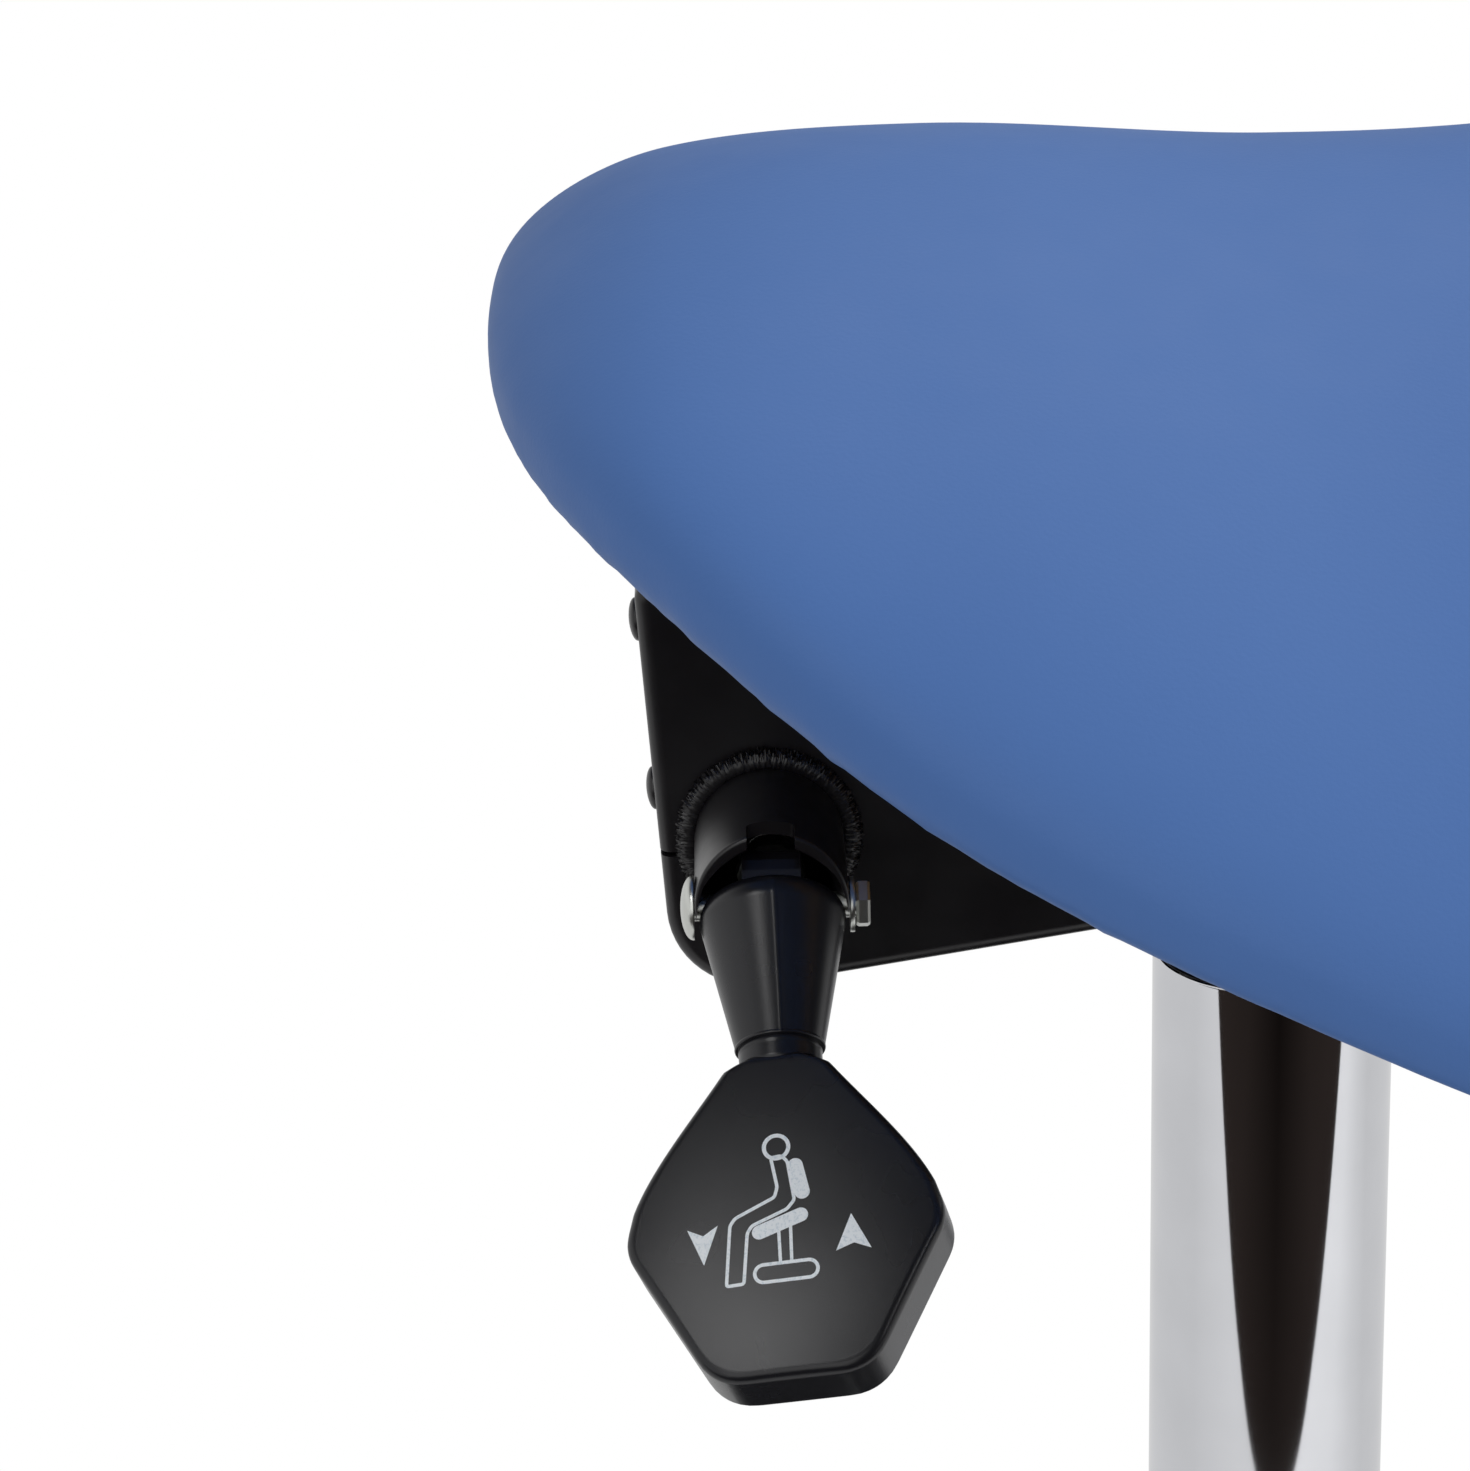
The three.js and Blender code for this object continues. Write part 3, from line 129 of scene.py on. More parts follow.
def lathe(profile, ease=0.4, facets=96, steps=4):
    """x is radius times cos a, y is radius times sin a and z is height, for a full turn of a."""
    outline = eased(profile, ease, steps)
    a = around(facets)
    radius, height = outline[:, :1], outline[:, 1:]
    points = np.stack([radius * np.cos(a), radius * np.sin(a), height + 0 * a], -1)
    return points, grid_faces(len(outline), facets)


def pulled(rings, wrap=True):
    """Rings of as many points each, joined one to the next; the first and the last are capped."""
    rings = np.asarray(rings, float)
    rows, columns = rings.shape[:2]
    caps = [list(range(columns)), list(range((rows - 1) * columns, rows * columns))]
    return rings, grid_faces(rows, columns, wrap_rows=False, wrap_columns=wrap) + caps


def at_height(outline, height):
    """A flat outline in x and y, set at a height."""
    outline = np.asarray(outline, float)
    return np.column_stack([outline, np.full(len(outline), float(height))])


def plate(outline, low, high):
    """An upright prism over a flat outline."""
    return pulled([at_height(outline, low), at_height(outline, high)])


def box_shell(low, high):
    """A block between two corners."""
    (x0, y0, z0), (x1, y1, z1) = low, high
    return plate([(x0, y0), (x1, y0), (x1, y1), (x0, y1)], z0, z1)


def rod(radius, low, high, facets=48):
    """A plain bar along z, used for holes."""
    return lathe([(0, low), (radius, low), (radius, high), (0, high)], 0, facets, 1)


# %% [markdown]
# A closed shell has an inside and an outside. The sign of the volume that its faces enclose tells
# whether they point outwards, so each shell is turned the right way as it is made.

# %% From shells to a piece
def shell_mesh(shell, inward=False):
    """Doubled points are merged, and the faces reversed where the enclosed volume is negative."""
    points, faces = shell
    mesh = bpy.data.meshes.new("shell")
    mesh.from_pydata((np.asarray(points).reshape(-1, 3) * MM).tolist(), [], faces)
    work = bmesh.new()
    work.from_mesh(mesh)
    bmesh.ops.remove_doubles(work, verts=work.verts, dist=2e-7)
    bmesh.ops.delete(work, geom=[edge for edge in work.edges if not edge.link_faces], context="EDGES")
    if (work.calc_volume(signed=True) < 0) != inward:
        bmesh.ops.reverse_faces(work, faces=work.faces)
    work.to_mesh(mesh)
    work.free()
    return mesh


def linked(name, data):
    """A new object that is in the scene."""
    piece = bpy.data.objects.new(name, data)
    bpy.context.scene.collection.objects.link(piece)
    return piece


def solid(name, *shells, hollows=()):
    """One object from closed shells, with hollows as inward shells."""
    work = bmesh.new()
    for shell in shells:
        work.from_mesh(shell_mesh(shell))
    for shell in hollows:
        work.from_mesh(shell_mesh(shell, inward=True))
    mesh = bpy.data.meshes.new(name)
    work.to_mesh(mesh)
    work.free()
    return linked(name, mesh)


def carved(piece, *cutters):
    """The piece less each cutter, by exact booleans that are applied at once."""
    for number, shell in enumerate(cutters):
        tool = solid(f"cutter_{number}", shell)
        step = piece.modifiers.new("Cut", "BOOLEAN")
        step.operation, step.solver, step.object = "DIFFERENCE", "EXACT", tool
        result = bpy.data.meshes.new_from_object(piece.evaluated_get(bpy.context.evaluated_depsgraph_get()))
        piece.modifiers.clear()
        piece.data = result
        bpy.data.objects.remove(tool)
    return piece


SLOTS = {part["node"]: part["material_slot"] for part in frame["record"]["subparts"]}


def finished(piece, body, material, stands_for=(), sharp=35):
    """Gives a piece its body, its material and slot, and smooth faces between sharp edges."""
    piece.data.materials.clear()
    piece.data.materials.append(material)
    piece.data.polygons.foreach_set("use_smooth", np.ones(len(piece.data.polygons), bool))
    piece.data.set_sharp_from_angle(angle=math.radians(sharp))
    weighted = piece.modifiers.new("Even shading", "WEIGHTED_NORMAL")
    weighted.keep_sharp = True
    if stands_for:
        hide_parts(*stands_for)
    if body:
        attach(piece, body)
    print(piece.name, "faces:", len(piece.data.polygons))
    return piece


# %% [markdown]
# ## Finishes
#
# A finish is a small tree of shader nodes. Most of them share one plan: a cloud of noise mixes two
# tones, a second one roughens the surface and a third one drives the gloss. Patterns are read from
# Object coordinates: every piece sits at the origin, so they are real metres.

# %% Colours and nodes
WHITE = (1.0, 1.0, 1.0, 1.0)


def colour(hex_code, factor=1.0):
    """A screen colour such as 5f7db3 as linear light: under 0.04045 over 12.92, else a power of 2.4."""
    share = np.array([int(hex_code[i:i + 2], 16) for i in (0, 2, 4)]) / 255
    linear = np.where(share <= 0.04045, share / 12.92, ((share + 0.055) / 1.055) ** 2.4)
    return (*(min(1.0, factor * float(c)) for c in linear), 1.0)


def cleared(owner):
    """The node tree of a material or a world, emptied."""
    owner.use_nodes = True
    owner.node_tree.nodes.clear()
    return owner.node_tree


def add_node(tree, kind, *inputs, named=(), **settings):
    """Adds a node and its settings, sets or links its inputs in their order or by name; gives its outputs."""
    node = tree.nodes.new("ShaderNode" + kind)
    for name, value in settings.items():
        setattr(node, name, value)
    for key, value in [*enumerate(inputs), *dict(named).items()]:
        if isinstance(value, bpy.types.NodeSocket):
            tree.links.new(value, node.inputs[key])
        else:
            node.inputs[key].default_value = value
    return node.outputs


# The span of the noise from low to high is carried to the span from at_low to at_high.
Cloud = namedtuple("Cloud", "per_metre detail fine low high at_low at_high", defaults=(0.5, 0, 1, 0, 1))


def clouded(tree, place, cloud):
    """Soft noise with so many features in a metre, carried to its span."""
    named = {"Scale": cloud.per_metre, "Detail": cloud.detail, "Roughness": cloud.fine}
    share = add_node(tree, "TexNoise", place, named=named)["Fac"]
    return add_node(tree, "MapRange", share, cloud.low, cloud.high, cloud.at_low, cloud.at_high)[0]


def new_finish(name, **constants):
    """A material with one shader, whose constants are set on its own sockets."""
    material = bpy.data.materials.new(name)
    tree = cleared(material)
    named = {key.replace("_", " "): value for key, value in constants.items()}
    surface = add_node(tree, "BsdfPrincipled", named=named)["BSDF"]
    add_node(tree, "OutputMaterial", surface)
    return material, tree, surface.node, add_node(tree, "TexCoord")["Object"]


def surfaced(finish, share, tones, rough, height=None, depth=0.0, strength=0.5):
    """The share mixes two tones, and a height is a bump of a real depth in metres."""
    material, tree, shader, _ = finish
    first, second = tones
    tint = add_node(tree, "Mix", share, named={6: first, 7: second}, data_type="RGBA")[2]
    tree.links.new(tint, shader.inputs["Base Color"])
    tree.links.new(rough, shader.inputs["Roughness"])
    if height:
        bump = add_node(tree, "Bump", named={"Height": height, "Distance": depth, "Strength": strength})[0]
        tree.links.new(bump, shader.inputs["Normal"])
    return material


def make_finish(name, tones, cloud, gloss, relief=None, depth=0.0, strength=0.5, stretch=(1, 1, 1),
                **constants):
    """The common plan; the relief and the gloss are stretched, which gives a tool's direction."""
    finish = new_finish(name, **constants)
    _, tree, _, place = finish
    along = add_node(tree, "Mapping", place, named={"Scale": stretch})[0]
    height = clouded(tree, along, relief) if relief else None
    share, rough = clouded(tree, place, cloud), clouded(tree, along, gloss)
    return surfaced(finish, share, tones, rough, height, depth, strength)


# %% [markdown]
# The saddle is wrapped in soft vinyl. Real vinyl has a pebbled grain of fine cells under a soft
# satin coat. The grain is a cell pattern about 0.9 mm across with much finer pores in it.

# %% Vinyl
def make_vinyl():
    """Stretched vinyl: cell grain, fine pores, and a faint drift of colour over the cover."""
    finish = new_finish("seat_vinyl", IOR=1.5, Specular_IOR_Level=0.15)
    _, tree, _, place = finish
    cells = add_node(tree, "TexVoronoi", place, named={"Scale": 1100}, feature="SMOOTH_F1")["Distance"]
    pebbles = add_node(tree, "MapRange", cells, 0, 0.7, 1, 0)[0]
    pores = clouded(tree, place, Cloud(3600, 2))
    height = add_node(tree, "Math", pebbles, pores, operation="ADD")[0]
    sheen = clouded(tree, place, Cloud(60, 3, low=0.3, high=0.7, at_low=0.48, at_high=0.54))
    tones = colour("4b6fac"), colour("5176b3")
    return surfaced(finish, clouded(tree, place, Cloud(9, 3)), tones, sheen, height, 0.00004)


vinyl = make_vinyl()
print("finish:", vinyl.name)

# %% [markdown]
# The frame, the lever's tube and the foot socket are powder coated: a black coat that flows almost
# flat, with a faint orange peel a few millimetres across. The moulded plastic is duller, with a fine
# spark-eroded texture and cloudy wear.

# %% Black coat and black plastic
def make_coat(name, tone, rough):
    """A sprayed coat: a flat colour, a faint orange peel and a little dust in the gloss."""
    gloss = Cloud(90, 4, low=0.3, high=0.7, at_low=rough - 0.04, at_high=rough + 0.05)
    return make_finish(name, (colour(tone), colour(tone, 1.25)), Cloud(30, 3), gloss,
                       Cloud(420, 2), 0.00002, 0.6, IOR=1.5)


def make_moulding(name, tone, worn, rough):
    """Moulded plastic: spark texture, cloudy wear in colour and gloss."""
    wear = Cloud(60, 2, low=0.15, high=0.85)
    gloss = wear._replace(at_low=rough + 0.015, at_high=rough - 0.02)
    return make_finish(name, (colour(tone), colour(worn)), wear, gloss,
                       Cloud(2600, 3, 0.7), 0.00003, 0.4, IOR=1.49)


black_coat = make_coat("black_powder_coat", "121013", 0.32)
foot_coat = make_coat("foot_powder_coat", "121215", 0.4)
lever_plastic = make_moulding("lever_moulding", "131317", "18181d", 0.28)
cover_plastic = make_moulding("cover_moulding", "1a1a1d", "222226", 0.5)
block_plastic = make_moulding("block_moulding", "17171a", "1e1e22", 0.6)
print("finishes:", black_coat.name, lever_plastic.name)

# %% [markdown]
# Chrome is a mirror with a faint grey. Its pattern is hardly seen: a few haze marks and polishing
# lines round the tube that break the reflection up a little. Zinc, turned steel and raw plate are
# rougher metals with their own streaks.

# %% Metals
def make_metal(name, tone, rough, grain, depth, stretch=(1, 1, 1), patches=0.06):
    """Bare metal: the tone drifts in patches, and a stretched grain gives the tool's direction."""
    gloss = Cloud(grain / 6, 4, low=0.3, high=0.7, at_low=rough, at_high=rough + patches)
    return make_finish(name, (colour(tone), colour(tone, 0.86)), Cloud(45, 4), gloss,
                       Cloud(grain, 3), depth, 0.5, stretch, Metallic=1.0)


chrome = make_metal("chrome_plate", "e3e4e8", 0.035, 260, 0.000002, (1, 1, 0.25), 0.02)
zinc = make_metal("zinc_plate", "c9ccc8", 0.26, 900, 0.00001)
bright_zinc = make_metal("bright_zinc", "d9dbd6", 0.28, 700, 0.00001)
dark_steel = make_metal("turned_dark_steel", "3a3b3f", 0.34, 900, 0.00001, (1, 1, 4))
plate_steel = make_metal("rolled_plate", "54565b", 0.42, 300, 0.00003)
print("metals:", chrome.name, zinc.name, dark_steel.name)

# %% [markdown]
# Rubber is almost black, dull, and slightly grainy. The bushes are milky nylon that lets a little
# light in, the brake discs are pressed fibre with brass flecks, and the seat's shell shows the face
# veneer of its plywood.

# %% Rubber, nylon, fibre and plywood
def make_rubber(name, tone):
    """Moulded rubber: dull, with a fine grain and pale dust in it."""
    dust = Cloud(160, 5, low=0.55, high=0.8)
    return make_finish(name, (colour(tone), colour("2b2b2c")), dust, dust._replace(at_low=0.7, at_high=0.86),
                       Cloud(1800, 3), 0.00005, 0.6, IOR=1.52)


def make_nylon():
    """Milky nylon: light goes a little way in, and it is faintly cloudy."""
    gloss = Cloud(300, 3, low=0.3, high=0.7, at_low=0.38, at_high=0.5)
    return make_finish("white_nylon", (colour("d8d6cc"), colour("e4e2da")), Cloud(120, 3), gloss,
                       IOR=1.53, Subsurface_Weight=0.3, Subsurface_Scale=0.003)


def make_fibre():
    """Pressed brake fibre: brown felt with brass flecks, which are glossier."""
    finish = new_finish("brake_fibre")
    _, tree, _, place = finish
    flecks = add_node(tree, "TexVoronoi", place, named={"Scale": 700})["Distance"]
    share = add_node(tree, "MapRange", flecks, 0.1, 0.2, 1, 0)[0]
    rough = add_node(tree, "MapRange", share, 0, 1, 0.9, 0.5)[0]
    felt = clouded(tree, place, Cloud(1500, 4))
    return surfaced(finish, share, (colour("4a3527"), colour("a98c55")), rough, felt, 0.0001, 0.7)


def make_plywood():
    """Plywood's face veneer: long grain in two browns, rougher where it is open."""
    finish = new_finish("seat_plywood")
    _, tree, _, place = finish
    along = add_node(tree, "Mapping", place, named={"Scale": (30, 3, 30)})[0]
    grain = clouded(tree, along, Cloud(6, 6, 0.7))
    share = add_node(tree, "MapRange", grain, 0.3, 0.7, 0, 1)[0]
    rough = add_node(tree, "MapRange", grain, 0.3, 0.7, 0.5, 0.65)[0]
    return surfaced(finish, share, (colour("9a7347"), colour("bb9560")), rough, grain, 0.0001, 0.4)


joint_rubber = make_rubber("joint_rubber", "171717")
floor_rubber = make_rubber("floor_rubber", "1c1c1d")
nylon, fibre, plywood = make_nylon(), make_fibre(), make_plywood()
print("soft finishes:", joint_rubber.name, nylon.name, fibre.name, plywood.name)

# %% [markdown]
# ## The saddle
#
# The saddle is a foam block under one stretched sheet of vinyl. Its plan is a squared oval, its top is
# a ridge with two falling flanks and a raised cantle at the rear, and its edge rolls over and is drawn
# in under the rim. The cover is worked out as one surface, and the small puckers of the drawn hem are
# added to it.

# %% The saddle's surface
SADDLE = {"waist": 582.5, "front": 157.0, "rear": 190.0, "half_width": 204.0, "taper": 0.16, "plan": 2.56}
RIDGE = ([-1, -0.8, -0.5, -0.1, 0.3, 0.7, 1], [-0.1, 0.21, 0.21, 0, 0.19, 1, 0.91])
DROP = ([-1, -0.6, -0.2, 0.2, 0.6, 1], [0.21, 0.57, 0.76, 1, 0.86, 0.5])
RIDGE_RISE, FLANK_DROP, FLANK_POWER, RIDGE_SOFTNESS = 23.5, 91.0, 0.77, 0.01
CROWN, LIP, ROUNDNESS = 26.0, 35.0, 2.55
LIP_SHARE, LIP_BOTTOM, RECESS = 0.8, -51.3, -38.0
BOARD_TOP, BOARD_BOTTOM = -38.3, -48.3
PUCKER_START, PUCKER_DEPTH, RIM_STEPS = 1.45, 0.42, 360


def smooth_through(table, at):
    """A cubic between knots, whose slope at each knot is that of the line between its neighbours."""
    knots, values = (np.asarray(row, float) for row in table)
    first, last = np.r_[0, np.arange(len(knots) - 1)], np.r_[np.arange(1, len(knots)), len(knots) - 1]
    slope = (values[last] - values[first]) / (knots[last] - knots[first])
    i = np.clip(np.searchsorted(knots, at) - 1, 0, len(knots) - 2)
    span = knots[i + 1] - knots[i]
    t = (at - knots[i]) / span
    start = (2 * t ** 3 - 3 * t ** 2 + 1) * values[i] + (t ** 3 - 2 * t ** 2 + t) * span * slope[i]
    end = (3 * t ** 2 - 2 * t ** 3) * values[i + 1] + (t ** 3 - t ** 2) * span * slope[i + 1]
    return start + end


def signed_power(value, power):
    """The power of the size, with the sign kept."""
    return np.sign(value) * np.abs(value) ** power


def saddle_points(share, a, rise):
    """u and v are share times a superellipse; height is ridge(u) less drop(u) times v to the power 1.54."""
    u, v = (share * signed_power(wave(a), 2 / SADDLE["plan"]) for wave in (np.cos, np.sin))
    middle, half = (SADDLE["rear"] - SADDLE["front"]) / 2, (SADDLE["rear"] + SADDLE["front"]) / 2
    start, end = RIDGE_SOFTNESS ** FLANK_POWER, (1 + RIDGE_SOFTNESS) ** FLANK_POWER
    fall = ((v * v + RIDGE_SOFTNESS) ** FLANK_POWER - start) / (end - start)
    ridge, drop = RIDGE_RISE * smooth_through(RIDGE, u), FLANK_DROP * smooth_through(DROP, u) * fall
    height = SADDLE["waist"] + ridge - drop
    x = SADDLE["half_width"] * v * (1 + SADDLE["taper"] * u)
    return np.stack([x, middle + half * u, height + rise], -1)


def edge_roll(a):
    """Share is sin a and height is cos a, both to the power 2 over the roundness: a crown, then a lip."""
    height = signed_power(np.cos(a), 2 / ROUNDNESS)
    return np.sin(a) ** (2 / ROUNDNESS), -CROWN + np.where(height > 0, CROWN, LIP) * height


# %% [markdown]
# The hem's puckers are sums of a few waves of unlike lengths, strongest where the vinyl turns round
# the tight lower corners, and they die out before the edge's widest line.

# %% The cover, its hem and the staples
def make_cover():
    """Rows run from the middle of the top over the edge to the drawn-in lip and the recess under it."""
    lip_end = np.pi - math.asin(LIP_SHARE ** (ROUNDNESS / 2))
    angles = np.r_[np.linspace(0, np.pi / 2, 60), np.linspace(np.pi / 2, lip_end, 22)[1:]]
    share, rise = edge_roll(angles)
    tuck = np.linspace(0, 1, 6)[1:]
    tucked = LIP_BOTTOM + 6 * (1 - np.cos(np.pi / 2 * tuck)) - 0.8 * np.sin(np.pi * tuck)
    share = np.r_[share, LIP_SHARE - 0.012 * np.sin(np.pi / 2 * tuck), 0.786, 0.6, 0.3, 0]
    rise = np.r_[rise, tucked, [RECESS] * 4]
    a = around(RIM_STEPS)[None, :]
    reach = np.zeros(len(share))
    reach[:len(angles)] = np.clip((angles - PUCKER_START) / (lip_end - PUCKER_START), 0, 1) ** 1.5
    waves = np.sin(61 * a) + 0.8 * np.sin(97 * a + 1.3) + 0.7 * np.sin(143 * a + 2.1 + 0.6 * np.sin(5 * a))
    pucker = PUCKER_DEPTH * waves * (0.35 + 0.65 * np.sin(2 * a) ** 2) * reach[:, None]
    share, rise = share[:, None] * (1 + pucker / SADDLE["rear"]), rise[:, None] - 0.7 * np.abs(pucker)
    return saddle_points(share, a, rise), grid_faces(len(share), RIM_STEPS)


cover = solid("saddle_cover", make_cover())
finished(cover, "seat", vinyl, ["seat_cushion"], sharp=60)


def make_hem():
    """The vinyl's raw hem under the shell: a thin band with soft pleats, 1.3 mm thick."""
    a = around(RIM_STEPS)[None, :]
    section = np.array([(0.794, -49.6, 0, 1), (0.784, -50.1, 0, 1), (0.72, -50.2, 1, 0.8),
                        (0.668, -50.1, 1, 0.3), (0.66, -49.5, 1, 0), (0.668, -48.6, 1, 0), (0.72, -48.6, 1, 0), (0.784, -48.6, 0, 0)])
    share, rise, ragged, pleated = section.T[..., None]
    share = share + ragged * (0.004 * np.sin(23 * a) + 0.003 * np.sin(57 * a + 1))
    pleat = 0.5 * pleated * np.maximum(0, np.sin(61 * a) + 0.5 * np.sin(97 * a))
    return saddle_points(share, a, rise - pleat), grid_faces(len(section), RIM_STEPS)


def staple_shells(count=84):
    """Flat wire staples over the hem, each a small block set across the edge."""
    a, on_hem = around(count), -51.2
    here, ahead = saddle_points(0.705, a, on_hem), saddle_points(0.705, a + 0.01, on_hem)
    along, across = unit(ahead - here), unit(saddle_points(0.69, a, on_hem) - here)
    up = np.cross(along, across)
    up *= np.sign(up[:, 2:])
    shells = []
    for i in range(count):
        tilt = np.column_stack([along[i] + 0.25 * across[i], across[i] - 0.25 * along[i], up[i]])
        shells.append(placed(box_shell((-5, -0.35, -0.3), (5, 0.35, 0.5)), tilt, here[i]))
    return shells


finished(solid("saddle_hem", make_hem()), "seat", vinyl)
finished(solid("hem_staples", *staple_shells()), "seat", bright_zinc)


def make_shell_board():
    """The curved board under the foam: the saddle's own surface, 38.3 to 48.3 mm down."""
    flat, steps = [0, 0.3, 0.55, 0.7, 0.78], 240
    share = np.array([*flat, 0.785, 0.785, *flat[::-1]])[:, None]
    rise = np.array([BOARD_TOP] * 5 + [BOARD_TOP - 1, BOARD_BOTTOM + 1] + [BOARD_BOTTOM] * 5)[:, None]
    return saddle_points(share, around(steps)[None, :], rise), grid_faces(len(share), steps)


finished(solid("saddle_board", make_shell_board()), "seat", plywood, ["seat_shell"])

# %% [markdown]
# ## The folded frame
#
# The mechanism's frame is 3 mm steel, pressed with folded edges all round, with windows cut in its
# top, its bottom and its front. It leans with the seat. The bend is a quarter circle, so the side
# outline is drawn again and again, each time a little further in, and then the windows are cut out.

# %% The frame's skin
PIVOT = np.array([0, 0, 476.0])
LEAN = turn("x", 3.8)
LOCK = np.array([0, -104.8, 461.0])
HALF, FRONT, REAR, TOP, STEEL = 50.0, 127.0, 78.0, 46.0, 3.0
LOW_FRONT, LOW_REAR, CORNER, FOLD = -42.1, -24.6, 17.0, 5.0


def frame_side(inset):
    """Front corner, rear corner and two top corners as arcs, on sides that are moved in by the inset."""
    slope = math.atan2(LOW_REAR - LOW_FRONT, FRONT + REAR)
    front, rear, top = -FRONT + inset, REAR - inset, TOP - inset
    wide, small = CORNER - inset, FOLD - inset

    def low(y):
        return LOW_FRONT + (y + FRONT) * math.tan(slope) + inset / math.cos(slope)

    down = slope - np.pi / 2
    arcs = [
        (front + wide, low(front) + wide * math.tan(np.pi / 4 + slope / 2), wide, np.pi, down + 2 * np.pi),
        (rear - wide, low(rear) + wide * math.tan(np.pi / 4 - slope / 2), wide, down, 0),
        (rear - small, top - small, small, 0, np.pi / 2),
        (front + small, top - small, small, np.pi / 2, np.pi),
    ]
    t = np.linspace(0, 1, 15)
    rounds = [np.column_stack([y + r * np.cos(a0 + (a1 - a0) * t), z + r * np.sin(a0 + (a1 - a0) * t)])
              for y, z, r, a0, a1 in arcs]
    return np.concatenate(rounds)


def side_ring(x, inset):
    """The side outline at one place across the frame."""
    outline = frame_side(inset)
    return np.column_stack([np.full(len(outline), x), outline])


def make_frame():
    """Outer skin with quarter-round bends, inner skin 3 mm in, then the windows and holes."""
    t = np.linspace(0, np.pi / 2, 7)
    near = [side_ring(HALF - STEEL + STEEL * math.cos(a), STEEL - STEEL * math.sin(a)) for a in t]
    far = [ring * (-1, 1, 1) for ring in near]
    outer = pulled(far + near[::-1])
    inner = pulled([side_ring(-HALF + STEEL, STEEL), side_ring(HALF - STEEL, STEEL)])
    place = lambda shell: placed(shell, LEAN, PIVOT)
    body = solid("tilt_frame_folded", place(outer), hollows=[place(inner)])
    window = lambda x, y0, y1, z0, z1, r: plate(eased([(-x, y0), (x, y0), (x, y1), (-x, y1)], r, 6), z0, z1)
    top_window = window(28, -105, 56, 0, 60, 6)
    low_window = window(36, -116, 67, -60, -12.3, 6)
    doorway = placed(window(33, -10, 40, 0, 15, 4), -ALONG_Y, (0, -118, 0))
    pivot_hole = placed(rod(13.3, -60, 60, 64), ALONG_X)
    slits = [box_shell((side * HALF - 6, -132, -11), (side * HALF + 6, -123.5, -10)) for side in (-1, 1)]
    clamp = placed(rod(4.6, 40, 60), ALONG_X, LEAN.T @ (LOCK - PIVOT))
    cuts = [top_window, low_window, doorway, pivot_hole, *slits, clamp]
    return carved(body, *[place(shell) for shell in cuts])


finished(make_frame(), "seat", black_coat, ["tilt_frame"], sharp=28)

# %% [markdown]
# The four rivets have low domed heads, painted with the frame. Their tails are spread behind the
# doubler plate.

# %% Rivets
def dome(radius, height, low=0.0, steps=9):
    """Points of a low dome's profile: radius sin a, height cos a."""
    a = np.linspace(0, np.pi / 2, steps)
    return np.column_stack([radius * np.sin(a), low + height * np.cos(a)])


rivet_profile = [*dome(4.25, 1.5), (4.25, -0.2), (2, -0.2), (2, -6.9), (3.2, -6.9), (3.0, -7.8), (0, -7.8)]
for number, (x, z) in enumerate([(-40, 35), (40, 35), (-40, 0), (40, 0)], 1):
    head = placed(lathe(rivet_profile, 0, 48, 1), -ALONG_Y, (x, -FRONT - 0.3, z))
    piece = solid(f"frame_rivet_{number}", placed(head, LEAN, PIVOT))
    finished(piece, "seat", black_coat, [f"rivet_{number}"], sharp=40)

# %% [markdown]
# ## The tilt lever
#
# A short tube is welded to the frame's flank. Its mouth has a notch above, and is cut away where the
# lever swings. The weld is a rippled bead: each ripple is one pulse of the welder's hand.

# %% The lever's own axes
DROOP_ANGLE = 42
DROOP = turn("z", 1.9) @ turn("y", DROOP_ANGLE)
LEVER = LOCK + (82, 0, -2)
PIN = LOCK + (80, 0, -2.8)
SLEEVE = [(0, -2.3), (8, -2.1), (11.4, -1.1), (13.3, 0.9), (13.9, 3), (8.2, 29.7), (0, 29.7)]
print("lever starts at", LEVER, "and turns about", PIN)

# %% The welded tube
BORE, TUBE, ROOT, MOUTH, EASE = 11.9, 14.5, 50.3, 87.0, 0.8
WELD_RING, WELD_SIZE, WELD_STEPS = 15.7, 2.25, (20, 720)


def hull(points):
    """The convex skin round a cloud of points."""
    work = bmesh.new()
    for point in np.asarray(points):
        work.verts.new(point)
    bmesh.ops.convex_hull(work, input=work.verts)
    bmesh.ops.delete(work, geom=[v for v in work.verts if not v.link_faces], context="VERTS")
    work.verts.index_update()
    skin = np.array([v.co for v in work.verts]), [[v.index for v in face.verts] for face in work.faces]
    work.free()
    return skin


def swing_room():
    """All that the sleeve sweeps as the lever lifts by 22 degrees, with 0.7 mm to spare."""
    spare = [(0, -0.7), (0.4, -0.7), (0.6, -0.6), (0.7, -0.4), (0.7, 0), (0.7, 5), (0, 5)]
    profile = np.add(SLEEVE, spare)
    sleeve, _ = placed(lathe(profile, 0, 40, 1), DROOP @ ALONG_X, LEVER)
    lifts = [turn("y", -22 * share) for share in (0, 0.2, 0.4, 0.6, 0.8, 1)]
    return hull(np.concatenate([(sleeve - PIN) @ lift.T + PIN for lift in lifts]))


